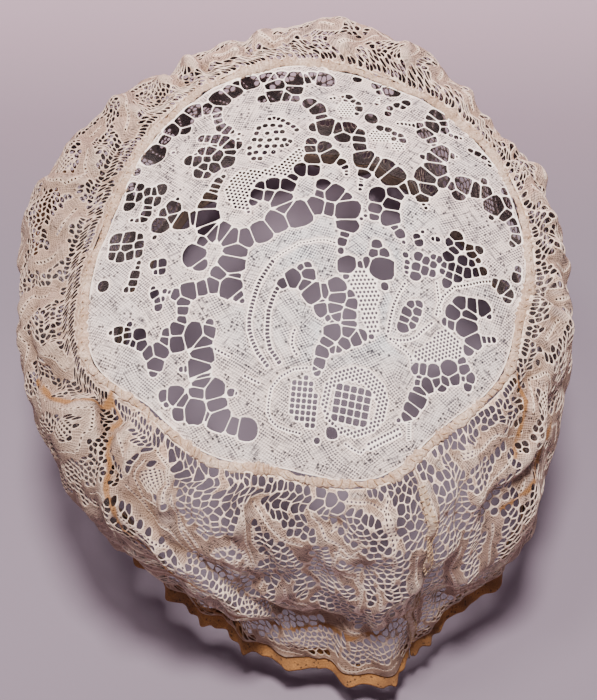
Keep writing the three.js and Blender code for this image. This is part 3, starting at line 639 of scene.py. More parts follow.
scrollRight = [
    (.456, -.264, .02), (.487, -.257, .018), (.439, -.295, .024), (.477, -.285, .022), (.426, -.327, .022),
    (.468, -.32, .018), (.418, -.358, .024), (.456, -.345, .018), (.407, -.384, .01), (.439, -.372, .01),
    (.682, -.233, .035), (.73, -.236, .035), (.779, -.233, .033), (.807, -.25, .012), (.81, -.268, .012),
    (.65, -.278, .038), (.71, -.278, .036), (.609, -.321, .016), (.641, -.323, .026), (.699, -.33, .046),
    (.71, -.365, .022), (.734, -.389, .035), (.783, -.379, .014), (.81, -.375, .013), (.828, -.372, .013),
    (.713, -.431, .022), (.682, -.486, .016), (.849, -.111, .02), (.88, -.122, .03), (.904, -.146, .025),
    (.90, -.167, .02), (.945, -.066, .02), (.953, -.028, .015)]
channelMiddle = [
    (.171, -.097, .035), (.209, -.09, .018), (.237, -.09, .015), (.268, -.083, .026), (.296, -.042, .024),
    (.331, -.042, .026), (.32, -.1, .05), (.345, -.14, .03), (.348, -.17, .015), (.338, -.188, .015),
    (.15, -.174, .022), (.143, -.03, .012), (.162, -.061, .01), (.168, -.146, .012), (.022, -.226, .04),
    (.074, -.219, .03), (.126, -.205, .04), (.129, -.243, .04), (.182, -.236, .022), (.188, -.271, .028),
    (.056, -.264, .014), (.06, -.299, .028), (.119, -.292, .034), (.07, -.32, .014), (.127, -.32, .028),
    (.175, -.323, .032), (.091, -.337, .014), (.105, -.356, .012), (.178, -.356, .028), (.112, -.4, .036),
    (.175, -.396, .032), (.161, -.438, .028), (.206, -.42, .03), (.234, -.407, .022), (.258, -.407, .012),
    (.279, -.41, .01), (.084, -.445, .028), (.065, -.479, .028), (.1, -.469, .02), (.053, -.5, .014),
    (.081, -.5, .02), (.05, -.532, .022), (.133, -.473, .014), (.035, -.555, .014), (.04, -.57, .014)]
besideRose = [
    (.477, -.532, .02), (.508, -.535, .024), (.553, -.542, .032), (.585, -.51, .012), (.623, -.521, .036),
    (.661, -.514, .02), (.494, -.57, .014), (.491, -.59, .018), (.525, -.594, .03), (.564, -.577, .026),
    (.605, -.57, .024), (.644, -.556, .026), (.592, -.601, .018), (.675, -.556, .008), (.692, -.518, .022),
    (.692, -.556, .01), (.72, -.552, .02), (.71, -.59, .016), (.491, -.629, .026), (.48, -.664, .034),
    (.456, -.705, .03), (.435, -.737, .02), (.397, -.757, .008), (.105, -.82, .022), (.04, -.851, .012)]
leftLower = [
    (-.324, -.028, .045), (-.338, -.08, .05), (-.39, -.129, .035), (-.331, -.139, .03), (-.345, -.188, .045),
    (-.418, -.177, .033), (-.468, -.188, .03), (-.529, -.198, .036), (-.583, -.208, .022), (-.55, -.243, .026),
    (-.553, -.278, .022), (-.56, -.327, .018), (-.313, -.229, .022), (-.29, -.257, .01), (-.432, -.344, .015),
    (-.626, -.375, .018), (-.577, -.368, .032), (-.539, -.368, .012), (-.504, -.396, .045), (-.442, -.386, .03),
    (-.633, -.413, .02), (-.577, -.417, .034), (-.468, -.431, .04), (-.657, -.452, .032), (-.7, -.459, .026),
    (-.463, -.479, .045), (-.675, -.5, .032), (-.48, -.528, .045), (-.685, -.535, .018), (-.47, -.564, .035),
    (-.536, -.532, .012), (-.56, -.532, .01), (-.466, -.598, .038), (-.477, -.639, .038), (-.418, -.639, .045),
    (-.372, -.646, .024), (-.334, -.646, .014), (-.317, -.65, .008), (-.637, -.636, .022), (-.588, -.639, .035),
    (-.553, -.671, .03), (-.626, -.671, .012), (-.494, -.709, .05), (-.564, -.716, .03), (-.407, -.691, .042),
    (-.44, -.73, .026), (-.39, -.754, .044), (-.372, -.789, .03), (-.327, -.785, .03), (-.265, -.799, .04),
    (-.616, -.782, .028), (-.591, -.827, .035), (-.522, -.858, .045), (-.564, -.82, .012), (-.928, -.118, .024),
    (-.78, -.087, .02), (-.787, -.125, .018), (-.79, -.154, .013), (-.817, -.154, .012), (-.769, -.052, .01),
    (-.764, -.031, .01), (-.796, -.32, .012), (-.848, -.347, .022), (-.807, -.347, .014), (-.845, -.379, .018),
    (-.807, -.372, .018), (-.748, -.375, .026), (-.741, -.417, .022), (-.775, -.41, .014), (-.807, -.396, .014),
    (-.883, -.347, .01), (-.685, -.195, .018), (-.669, -.226, .014), (-.666, -.257, .016), (-.692, -.167, .01),
    (-.647, -.222, .01), (-.637, -.188, .01), (-.616, -.195, .008), (-.692, -.049, .018), (-.655, -.049, .02),
    (-.654, -.087, .016), (-.682, -.09, .01), (-.511, -.031, .045), (-.484, -.07, .03), (-.564, -.028, .014),
    (-.553, -.042, .01), (-.094, -.153, .02), (-.112, -.181, .02), (-.06, -.16, .035), (-.028, -.115, .018),
    (-.004, -.105, .018), (-.004, -.142, .03), (-.015, -.184, .03), (-.015, -.226, .028)]
flowerLeft = [(x, y, .0105) for x, y in [
    (-.18, .67), (-.16, .675), (-.14, .67), (-.12, .66), (-.095, .64), (-.07, .62), (-.055, .6), (-.23, .62),
    (-.20, .63), (-.165, .63), (-.13, .625), (-.24, .59), (-.19, .585), (-.15, .59), (-.12, .59), (-.25, .555),
    (-.22, .55), (-.18, .545), (-.145, .55), (-.11, .545), (-.085, .535), (-.27, .51), (-.225, .515),
    (-.19, .51), (-.155, .51), (-.12, .51), (-.1, .515), (-.27, .475), (-.24, .48), (-.2, .475), (-.16, .475),
    (-.25, .445), (-.22, .443)]]
# Rows of small holes along the veins: line, pitch, half length along it, half width across it
crownLadders = [
    ([(.12, .007), (.08, .02), (.04, .018), (0, .007), (-.04, 0), (-.07, -.02), (-.115, -.045), (-.153, -.076)],
     .024, .008, .004),
    ([(-.153, -.076), (-.185, -.122), (-.213, -.167), (-.23, -.215), (-.247, -.278), (-.258, -.334),
      (-.258, -.382), (-.244, -.431), (-.22, -.486), (-.195, -.518), (-.174, -.545)], .025, .0075, .0095),
    ([(-.133, -.2), (-.147, -.226), (-.16, -.26), (-.173, -.302), (-.176, -.34), (-.178, -.379), (-.178, -.41),
      (-.171, -.445), (-.164, -.473), (-.143, -.5), (-.122, -.532)], .026, .0085, .0105),
    ([(-.056, -.382), (-.067, -.41), (-.07, -.452), (-.06, -.48), (-.046, -.5)], .025, .006, .006),
    ([(-.414, -.455), (-.341, -.497)], .024, .006, .0055),
    ([(-.282, -.577), (-.209, -.612)], .024, .006, .0055),
    ([(.43, -.16), (.40, -.21), (.375, -.27), (.36, -.33), (.35, -.39)], .024, .0075, .006),
    ([(.355, -.415), (.40, -.42), (.44, -.415), (.475, -.4), (.51, -.365), (.55, -.33)], .024, .0075, .006),
    ([(.565, -.3), (.575, -.26), (.60, -.205), (.65, -.155), (.72, -.135), (.78, -.115), (.825, -.105)],
     .024, .0075, .006),
    ([(.37, -.42), (.40, -.447), (.43, -.465), (.45, -.485), (.46, -.52)], .022, .0065, .006),
    ([(.40, -.79), (.3, -.845), (.26, -.865)], .024, .008, .006),
    ([(.41, -.81), (.31, -.865), (.27, -.885)], .024, .008, .006),
    ([(.16, -.86), (.19, -.88), (.21, -.89), (.23, -.9), (.25, -.88)], .024, .006, .005),
    ([(0, -.55), (-.06, -.555), (-.12, -.585), (-.16, -.63), (-.17, -.68), (-.175, -.73), (-.16, -.765),
      (-.13, -.79), (-.09, -.805), (-.03, -.82)], .022, .0065, .0055),
    ([(.57, -.14), (.578, -.21), (.585, -.285)], .024, .006, .005),
    ([(.443, -.758), (.443, -.834)], .0155, .0035, .009),
]
netScroll = [(-.02, .50), (-.06, .49), (-.12, .42), (-.2, .375), (-.3, .38), (-.35, .36), (-.375, .27), (-.34, .2),
             (-.26, .155), (-.28, .22), (-.26, .3), (-.22, .345), (-.12, .35), (-.07, .36), (-.06, .4), (-.02, .44)]
netPetal = [(.21, -.12), (.26, -.11), (.29, -.15), (.315, -.22), (.30, -.3), (.31, -.36), (.31, -.4), (.27, -.39),
            (.24, -.34), (.22, -.28), (.2, -.22), (.185, -.18)]
netLeaf = [(.46, -.46), (.52, -.43), (.57, -.38), (.60, -.35), (.64, -.37), (.68, -.42), (.68, -.47), (.62, -.49),
           (.54, -.5), (.48, -.5)]
petalGrid = [(-.06, -.6), (0, -.585), (.03, -.6), (.035, -.68), (.03, -.76), (.05, -.79), (0, -.79), (-.05, -.77),
             (-.08, -.73), (-.085, -.68), (-.07, -.63)]


def polygonNet(corners, pitch, reach, **shape):
    xs, ys = [x for x, _ in corners], [y for _, y in corners]
    return net(lambda x, y: insidePolygon(x, y, corners), (min(xs), min(ys), max(xs), max(ys)), pitch, reach, **shape)


def ellipseNet(middle, radii, pitch, reach, innerMiddle=None, innerRadii=None, **shape):
    def inside(x, y):
        found = ((x - middle[0])/radii[0])**2 + ((y - middle[1])/radii[1])**2 < 1
        if innerMiddle:
            found &= ((x - innerMiddle[0])/innerRadii[0])**2 + ((y - innerMiddle[1])/innerRadii[1])**2 > 1
        return found
    box = (middle[0] - radii[0], middle[1] - radii[1], middle[0] + radii[0], middle[1] + radii[1])
    return net(inside, box, pitch, reach, **shape)


def crownChart():
    rows = []
    for region in (rimLeftTop, clusterLeft, rowMiddle, rimTop, stemTop, rightTop, flowersTop, flowerRight,
                   scrollRight, channelMiddle, besideRose, leftLower, flowerLeft):
        rows += [hole(*single) for single in region]
    for line, pitch, halfLength, halfWidth in crownLadders:
        rows += along(line, pitch*crownLace["ladderPitch"], halfLength*crownLace["ladderLength"],
                      halfWidth*crownLace["ladderWidth"], 5.0)
    rows += polygonNet(netScroll, .0185, .0072, turn=.8)
    rows += polygonNet(netPetal, .0175, .0052, stretch=1.25, turn=.1)
    rows += polygonNet(netLeaf, .0172, .0062, turn=.4)
    rows += polygonNet(petalGrid, .0245, .0088, turn=-.1, squareness=4, staggered=False)
    rows += ellipseNet((.19, -.705), (.095, .09), .032, .0125, turn=-.17, squareness=5, staggered=False)
    rows += ellipseNet((.205, -.69), (.145, .145), .0172, .0062, (.19, -.705), (.108, .103), turn=.3)
    rows += ellipseNet((.18, .735), (.05, .05), .0148, .0052)
    rows += ellipseNet((.33, .585), (.05, .04), .016, .0052)
    rows += ellipseNet((.41, .53), (.03, .03), .016, .0052)
    scaled = np.array(rows)
    scaled[:, :4] *= crown["radius"]
    scaled[:, 2:4] *= crownLace["openness"]
    return scaled


def crownEdge(angle):
    return seamRadius(angle) - crownLace["edgeLoss"]


def buildCrown():
    def room(x, y, headingX, headingY):
        limit = crownEdge(np.degrees(np.arctan2(y, x))) - .4
        toward = x*headingX + y*headingY
        return -toward + np.sqrt(np.maximum(toward**2 - (x**2 + y**2) + limit**2, 0))

    def inside(x, y):
        return np.hypot(x, y) < crownEdge(np.degrees(np.arctan2(y, x))) - .01

    rows = crownChart()
    rows = rows[np.hypot(rows[:, 0], rows[:, 1]) < crownEdge(np.degrees(np.arctan2(rows[:, 1], rows[:, 0]))) - 1]
    rings, middles = holeOutlines(rows, crownLace["brideHalf"], crownLace["edgeStep"], room)
    turns = np.linspace(0, 360, crownLace["edgePoints"], endpoint=False)
    edge = crownEdge(turns)
    outline = np.column_stack([edge*np.cos(np.radians(turns)), edge*np.sin(np.radians(turns))])
    reach = crown["radius"]*1.1
    cloth = laceCloth(rings, middles, outline, inside, (-reach, -reach, reach, reach), crownPlace, crownLace, False)
    none = np.zeros(len(cloth["away"]))
    cloth.update(relief=none, stain=none, hemward=none)
    print("crown lace:", len(rings), "holes,", len(cloth["triangles"]), "triangles")
    return lacePieces("crownLace", cloth, [])[0]


crownPiece = buildCrown()
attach(crownPiece, "root")
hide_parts("crown_panel")
print("crown done")

# Band lace on the flat strip, in millimetres: x along the strip from the join, y down from the seam
bandLace = {
    "thickness": .5, "collar": .9, "cordRise": .12, "fillStep": 2.7, "brideHalf": .21, "edgeStep": .98,
    "splits": [190.0, 385.0, 580.0, 775.0], "jitter": .22, "seed": 4, "margin": .5, "edgeStepOutline": 1.6,
    "closedFoldEdgeWidth": 4.0,
}
# Patches of open ground seen in the photograph: x, y, half width, half height, cell width, cell height
groundSeen = [
    (812, 5, 19, 7, 6.2, 4.8), (845, 15, 11, 9, 3.2, 4.6), (826, 22, 8, 5, 3.8, 3), (848, 27, 5, 4, 3, 4),
    (838, 33, 4, 6, 2.8, 4.6), (877, 35, 8, 8, 2.8, 5.6), (858, 5, 8, 5, 3.2, 3.6), (882, 6, 13, 7, 3.2, 4),
    (888, 21, 7, 5, 3, 3.4), (904, 5, 8, 6, 4.8, 4.6), (919, 16, 7, 7, 2.8, 4), (932, 28, 5, 4, 3, 3),
    (948, 20, 6, 9, 3.8, 4.4), (950, 33, 5, 6, 3.2, 4.4), (884, 49, 10, 10, 3, 6.2), (903, 53, 5, 14, 2.6, 6.2),
    (873, 59, 5, 10, 2.8, 5.6), (891, 65, 5, 9, 3, 6), (908, 80, 5, 14, 2.5, 6.6), (918, 85, 3, 7, 2.8, 6),
    (927, 60, 3, 14, 2.4, 4.4), (936, 50, 4, 7, 2.4, 4), (936, 79, 4, 10, 2.8, 5.8), (945, 77, 3, 12, 2.4, 5),
    (870, 99, 5, 8, 2, 2.2), (928, 97, 3, 9, 3, 6), (18, 16, 9, 6, 4, 3.2), (22, 30, 6, 9, 4, 4.4),
    (5, 40, 6, 6, 3.2, 3.2), (17, 43, 6, 9, 3.2, 3.4), (28, 42, 6, 9, 3.2, 3.2), (6, 4, 6, 4, 3.8, 3),
    (28, 5, 8, 4, 3.6, 3), (58, 5, 8, 4, 3.2, 2.6), (10, 61, 4, 13, 3.4, 5), (10, 85, 3, 11, 3.2, 5.2),
    (42, 24, 9, 6, 2.4, 2.2), (896, 122, 15, 5, 2, 2.2), (925, 127, 13, 6, 2.4, 2.4), (882, 130, 10, 4, 1.8, 2),
    (850, 76, 8, 4, 1.8, 2), (840, 56, 10, 4, 2.2, 2.2), (866, 88, 6, 4, 1.8, 2), (950, 125, 8, 9, 2.6, 2.6),
    (815, 60, 10, 6, 3, 3), (800, 80, 12, 6, 3.4, 3.4), (830, 88, 10, 8, 3.6, 3.6), (810, 108, 14, 6, 3.2, 3.4),
    (850, 112, 10, 6, 3, 3.4), (800, 134, 14, 4, 2.4, 2.4), (840, 134, 12, 4, 2.4, 2.4), (35, 70, 6, 9, 2.6, 3.4),
    (50, 50, 6, 6, 3, 3), (35, 98, 9, 7, 3, 3.6), (20, 122, 10, 6, 2.6, 2.6), (52, 120, 10, 6, 2.6, 2.6),
]
# Rows of small holes seen there: line, pitch, half length, half width
veinsSeen = [
    ([(905, 22), (912, 19), (920, 24), (922, 31), (915, 36), (908, 33)], 2.4, .7, .55),
    ([(843, 48), (846, 42), (852, 39), (859, 42), (862, 49), (860, 56)], 2.6, .6, 1.1),
    ([(846, 53), (850, 47), (856, 48), (857, 54)], 2.4, .5, .9),
    ([(862, 22), (866, 34), (874, 47)], 2.4, .7, .55), ([(852, 34), (860, 44), (866, 56)], 2.4, .7, .55),
    ([(915, 46), (921, 52), (922, 62), (918, 72)], 2.4, .7, .6), ([(911, 30), (909, 44), (913, 60)], 2.2, .7, .5),
    ([(938, 4), (936, 16), (940, 40), (939, 60)], 2.4, .8, .6), ([(895, 90), (903, 98), (915, 103)], 2.2, .7, .6),
    ([(784, 8), (800, 10), (808, 17), (809, 27)], 2.2, .7, .5), ([(786, 14), (788, 24), (796, 30), (806, 29)], 2.2, .7, .5),
    ([(812, 22), (824, 34), (832, 48), (842, 62)], 2.2, .8, .6), ([(884, 78), (880, 88), (872, 84)], 2.2, .7, .5),
    ([(784, 44), (800, 46), (818, 52), (830, 64)], 2.2, .7, .55), ([(34, 10), (46, 14), (58, 13), (66, 20)], 2.2, .7, .5),
]
# Cloth of the motifs seen there, each a stroke with its width. Ground fills what they leave free.
clothSeen = [
    ([(783, 30), (800, 33), (820, 42), (835, 55)], 11), ([(812, 20), (820, 30), (830, 38), (836, 48)], 6),
    ([(832, 3), (836, 10), (845, 6)], 3), ([(852, 12), (857, 25), (862, 38), (868, 55), (868, 75)], 8),
    ([(862, 12), (870, 20), (880, 27), (893, 31)], 6), ([(896, 3), (897, 14), (903, 24), (915, 33), (925, 40)], 7),
    ([(912, 5), (925, 6), (938, 12), (940, 28)], 6), ([(838, 42), (848, 55), (862, 55), (862, 44), (854, 36), (842, 40)], 4),
    ([(893, 34), (895, 45), (896, 60), (898, 75)], 4), ([(880, 70), (885, 80), (895, 85), (902, 95)], 8),
    ([(912, 48), (920, 55), (921, 70), (925, 88)], 6), ([(932, 58), (931, 70), (940, 95)], 5),
    ([(952, 40), (952, 60), (950, 85), (948, 105)], 8), ([(875, 100), (890, 104), (910, 108), (930, 112)], 10),
    ([(845, 95), (858, 104), (862, 118)], 8), ([(905, 135), (925, 137), (945, 138)], 7), ([(860, 137), (885, 138)], 5),
    ([(2, 12), (4, 25), (2, 34)], 7), ([(32, 12), (45, 14), (60, 14)], 7), ([(35, 34), (50, 30), (70, 30)], 7),
    ([(12, 2), (18, 7)], 4), ([(25, 60), (22, 80), (28, 100)], 8), ([(45, 60), (45, 90)], 8),
    ([(5, 100), (3, 120)], 7), ([(30, 110), (45, 112)], 7), ([(15, 130), (40, 134), (60, 134)], 5),
    ([(785, 12), (790, 27), (803, 31), (810, 20), (804, 8), (790, 6), (785, 12)], 4), ([(785, 70), (805, 68), (822, 76)], 8),
    ([(790, 94), (812, 98), (826, 104)], 9), ([(795, 122), (818, 124), (840, 124)], 8), ([(835, 100), (842, 116)], 7),
]
seenRange = (780.0, 1022.0)
# One repeat of the pattern, 160 mm long, for the rest of the strip: strokes of cloth and their width
repeatLength, repeatDepth = 160.0, 145.0
repeatCloth = [
    ([(53, 44), (49, 54), (40, 57), (31, 54), (27, 44), (31, 34), (40, 31), (49, 34), (53, 44)], 6),
    ([(40, 26), (48, 14), (60, 9)], 8), ([(26, 34), (14, 26), (8, 14)], 8), ([(40, 60), (48, 74), (64, 82), (80, 80)], 6),
    ([(64, 82), (72, 94), (70, 110)], 9), ([(58, 62), (68, 52), (72, 38)], 9),
    ([(84, 20), (96, 14), (108, 20), (110, 32), (102, 40), (94, 36)], 6),
    ([(140, 104), (136, 114), (128, 117), (120, 114), (116, 104), (120, 94), (128, 91), (136, 94), (140, 104)], 6),
    ([(128, 88), (134, 74), (130, 60)], 9), ([(112, 98), (98, 96), (88, 104)], 8), ([(142, 96), (152, 86), (158, 74)], 8),
    ([(126, 46), (138, 38), (150, 42), (154, 54), (146, 62)], 6), ([(20, 72), (12, 84), (14, 98)], 9),
    ([(28, 76), (36, 90), (34, 106)], 8), ([(46, 116), (54, 122), (60, 114), (52, 110), (46, 116)], 5),
    ([(0, 139), (40, 139), (80, 139), (120, 139), (160, 139)], 5),
    ([(0, 130), (20, 124), (40, 130), (60, 124), (80, 130), (100, 124), (120, 130), (140, 124), (160, 130)], 3.5),
    ([(100, 56), (112, 66), (114, 78)], 8), ([(2, 56), (10, 64)], 7), ([(90, 62), (84, 70)], 6), ([(118, 12), (136, 18)], 7),
    ([(146, 14), (156, 24)], 7), ([(66, 22), (76, 24)], 6), ([(20, 114), (32, 118)], 6), ([(100, 112), (108, 116)], 6),
]
# Netted hearts of the repeat's flowers: x, y, half width, half height, mesh
repeatFlowers = [(40, 44, 8, 8.5, 2.4), (128, 104, 8, 8.5, 2.4), (98, 27, 5, 5, 1.9), (142, 50, 5, 4, 1.9)]
groundCell = {
    "repeat": 2.7, "seenWidth": 2.25, "seenHeight": 3.4, "gap": 1.8, "seenReach": .76, "repeatReach": .58, "leftReach": .38,
    "patch": .86,
}
# Ochre painted along folded edges and creases as the golden shade of their undersides, then two wider ochre stains:
# line of angle and drop, width
stainLines = [
    ([(212, 0), (223, .2), (240, .48), (257, .75)], 1.9), ([(198, .2), (206, .1), (213, .02)], 2.2),
    ([(336, .4), (326, .4), (316, .4)], 2.0), ([(332, .02), (321, .22)], 1.6), ([(244, .9), (268, .85), (291, .78)], 1.8),
    ([(146, .5), (158, .42), (166, .5)], 9.0), ([(222, .9), (250, .97)], 5.0),
]
veinForm = {"pitch": 2.4, "halfLength": .7, "halfWidth": .5, "shortest": 9.0}


def distanceToLine(x, y, points):
    least = np.full(np.shape(x), 1e9)
    for (ax, ay), (bx, by) in zip(points, points[1:]):
        length = (bx - ax)**2 + (by - ay)**2
        share = np.clip(((x - ax)*(bx - ax) + (y - ay)*(by - ay))/length, 0, 1)
        least = np.minimum(least, np.hypot(x - ax - share*(bx - ax), y - ay - share*(by - ay)))
    return least


def jittered(rows, chance, cell):
    shift = bandLace["jitter"]
    return [(x + chance.uniform(-shift, shift)*cell[0], y + chance.uniform(-shift, shift)*cell[1], a, b, turn, square)
            for x, y, a, b, turn, square in rows]


# Open ground: jittered cells wherever no stroke of cloth lies
def groundCells(strokes, box, width, height, reach, chance):
    def free(x, y):
        found = np.ones(np.shape(x), bool)
        for line, across in strokes:
            found &= distanceToLine(x, y, line) > across/2 + groundCell["gap"]
        return found
    cells = net(free, box, width, reach*width, stretch=height/width)
    x0, y0, x1, y1 = box
    return [cell for cell in jittered(cells, chance, (width, height)) if x0 < cell[0] < x1 and y0 < cell[1] < y1]


# A row of small holes down the middle of each wide stroke
def veins(strokes):
    rows = []
    for line, width in strokes:
        if width > 4.5:
            rows += along(line, veinForm["pitch"], veinForm["halfLength"], veinForm["halfWidth"])
    return rows


def bandChart():
    chance = np.random.default_rng(bandLace["seed"])
    length = bandForm["flatLength"]
    leftMiddle = flatX(175)
    rows = []
    for x, y, halfWidth, halfHeight, cellWidth, cellHeight in groundSeen:
        cellWidth, cellHeight = cellWidth*groundCell["patch"], cellHeight*groundCell["patch"]
        cells = ellipseNet((x, y), (halfWidth, halfHeight), cellWidth, groundCell["seenReach"]*cellWidth, turn=0,
                           stretch=cellHeight/cellWidth)
        rows += jittered(cells, chance, (cellWidth, cellHeight))
    for line, pitch, halfLength, halfWidth in veinsSeen:
        rows += along(line, pitch, halfLength, halfWidth)
    rows += ellipseNet((798, 19), (8, 6), 1.9, .62, turn=.5, squareness=4, staggered=False)
    wrapped = [([(x + length*(x < length/2), y) for x, y in line], width) for line, width in clothSeen]
    rows += veins(clothSeen)
    box = (seenRange[0], 0, seenRange[1], bandDepths.max())
    rows += groundCells(wrapped, box, groundCell["seenWidth"], groundCell["seenHeight"], groundCell["seenReach"], chance)
    rows = [(row[0] % length, *row[1:]) for row in rows]
    for index in range(int(length/repeatLength)):
        start = index*repeatLength
        made = []
        for x, y, halfWidth, halfHeight, mesh in repeatFlowers:
            made += ellipseNet((x, y), (halfWidth, halfHeight), mesh, .36*mesh, turn=.3, squareness=4, staggered=False)
        made += veins(repeatCloth)
        cell = groundCell["repeat"]
        closed = math.exp(-((start + repeatLength/2 - leftMiddle)/110)**2)
        reach = groundCell["repeatReach"] + closed*(groundCell["leftReach"] - groundCell["repeatReach"])
        made += groundCells(repeatCloth, (0, 0, repeatLength, repeatDepth), cell, cell*1.1, reach, chance)
        for x, y, *form in made:
            place = start + x
            if seenRange[1] - length < place < seenRange[0]:
                rows.append((place, y*float(bandDepth(place))/repeatDepth, *form))
    rows = np.array(rows)
    depth = bandDepth(rows[:, 0])
    clear = (rows[:, 1] > 1.2) & (rows[:, 1] < depth - 2.2)
    clear &= (rows[:, 0] > 2.5) & (rows[:, 0] < length - 2.5)
    clear &= stainShare(rows[:, 0], rows[:, 1], bandLace["closedFoldEdgeWidth"]) < .5
    return apartRows(rows[clear])


# Leaves out a hole that would lie on an earlier one
def apartRows(rows):
    reach = np.minimum(rows[:, 2], rows[:, 3])
    cells, kept = {}, []
    size = 4.0
    for index, (x, y) in enumerate(rows[:, :2]):
        cell = (int(x//size), int(y//size))
        near = [other for i in (-1, 0, 1) for j in (-1, 0, 1) for other in cells.get((cell[0] + i, cell[1] + j), [])]
        if all(math.hypot(x - rows[other, 0], y - rows[other, 1]) > .8*(reach[index] + reach[other]) for other in near):
            cells.setdefault(cell, []).append(index)
            kept.append(index)
    return rows[kept]


# How strongly the cloth is painted ochre: shade along its folded edges and creases, stain in the two wider patches
def stainShare(x, y, widest=math.inf):
    share = np.zeros(len(x))
    for line, width in stainLines:
        if width > widest:
            continue
        points = [(flatX(angle), drop*float(bandDepth(flatX(angle)))) for angle, drop in line]
        share = np.maximum(share, np.exp(-(distanceToLine(x, y, points)/width)**2))
    return share*(.75 + .25*np.sin(x/2.3)*np.sin(y/3.1))


def buildBand():
    length = bandForm["flatLength"]

    def room(x, y, headingX, headingY):
        depth = bandDepth(x)
        margin = bandLace["margin"]
        sideways = np.where(headingX > 0, length - margin - x, x - margin)/np.maximum(np.abs(headingX), 1e-6)
        upDown = np.where(headingY > 0, depth - margin - y, y - margin)/np.maximum(np.abs(headingY), 1e-6)
        return np.minimum(sideways, upDown)

    def inside(x, y):
        return (x > .01) & (x < length - .01) & (y > .01) & (y < bandDepth(x) - .01)

    rings, middles = holeOutlines(bandChart(), bandLace["brideHalf"], bandLace["edgeStep"], room)
    across = np.arange(0, length, bandLace["edgeStepOutline"])
    down = np.arange(bandLace["edgeStepOutline"], bandDepth(0.0) - 1, bandLace["edgeStepOutline"])
    outline = np.concatenate([
        np.column_stack([across, np.zeros(len(across))]),
        np.column_stack([np.full(len(down), length), down]),
        np.column_stack([across[::-1] + length - across[-1], bandDepth(across[::-1] + length - across[-1])]),
        np.column_stack([np.zeros(len(down)), down[::-1]])])
    outline = outline[np.concatenate([[True], np.linalg.norm(np.diff(outline, axis=0), axis=1) > .2])]
    cloth = laceCloth(rings, middles, outline, inside, (0, 0, length, bandDepths.max()), bandPlace, bandLace, True)
    x, y = cloth["flat"].T
    cloth.update(relief=onBand(bandRelief, x, y)[:, 0], stain=stainShare(x, y), hemward=y/bandDepth(x))
    print("band lace:", len(rings), "holes,", len(cloth["triangles"]), "triangles")
    return lacePieces("bandLace", cloth, bandLace["splits"])


bandPieces = buildBand()
for piece in bandPieces:
    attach(piece, "root")
    print(piece.name, len(piece.data.polygons))
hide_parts("side_band")
print("band done")

# Seam roll: the gathered edge of the band turned over the crown's edge, a puckered tube
rollForm = {
    "points": 1440, "sides": 14, "halfWidth": 2.0, "halfHeight": .95, "pucker": .32, "puckers": 171, "lift": .35,
    "outward": 1.1,
}


def tubeMesh(name, middles, outwards, upwards, halfWidths, halfHeights, sides, closed):
    count = len(middles)
    turns = 2*math.pi*np.arange(sides)/sides
    points = (middles[:, None] + (halfWidths[:, None]*np.cos(turns))[..., None]*outwards[:, None]
              + (halfHeights[:, None]*np.sin(turns))[..., None]*upwards[:, None])
    section, side = np.meshgrid(np.arange(count if closed else count - 1), np.arange(sides), indexing="ij")
    nextSection, nextSide = (section + 1) % count, (side + 1) % sides
    a, b = section*sides + side, nextSection*sides + side
    c, d = nextSection*sides + nextSide, section*sides + nextSide
    halves = [np.stack(corners, axis=-1).reshape(-1, 3) for corners in ([a, b, c], [a, c, d])]
    triangles = np.concatenate(halves)
    flat = np.column_stack([np.repeat(np.arange(count), sides), np.tile(turns, count)])
    return makeMesh(name, points.reshape(-1, 3)*metre, triangles, None, flat)


def rollLine(angles):
    chance = 3*wave(9, angles, .5) + 3*wave(23, angles, 1.5) + 2*wave(37, angles, .2)
    rim = wave(rollForm["puckers"], angles, chance)
    lift = rollForm["lift"] + .5*wave(31, angles, chance) + .35*wave(12, angles, 0)
    middles = seamPoint(angles, rollForm["outward"] + .5*wave(17, angles, 2)) + lift[:, None]*crownOut
    return middles, rim


def buildRoll():
    angles = np.linspace(0, 360, rollForm["points"], endpoint=False)
    middles, rim = rollLine(angles)
    outwards, upwards = spoke(angles, crownUp), np.broadcast_to(crownOut, (len(angles), 3))
    uneven = 1 + .2*wave(7, angles, 1) + .16*wave(19, angles, 3) + .12*wave(53, angles, wave(11, angles, 0))
    halfWidths = (rollForm["halfWidth"] + rollForm["pucker"]*rim)*uneven
    halfHeights = (rollForm["halfHeight"] + .6*rollForm["pucker"]*rim)*uneven
    return tubeMesh("seamRoll", middles, outwards, upwards, halfWidths, halfHeights, rollForm["sides"], True)


rollPiece = buildRoll()
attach(rollPiece, "root")
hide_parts("crown_seam")

# Ochre ruffle under the hem, with pinholes in its finish and wavy along its edge
frillForm = {
    "thickness": .6, "lap": 5.0, "reach": 7.4, "columns": 1500, "rows": 16, "under": 1.4, "flare": .8, "waves": 61,
    "scallop": .35, "outward": .35,
}


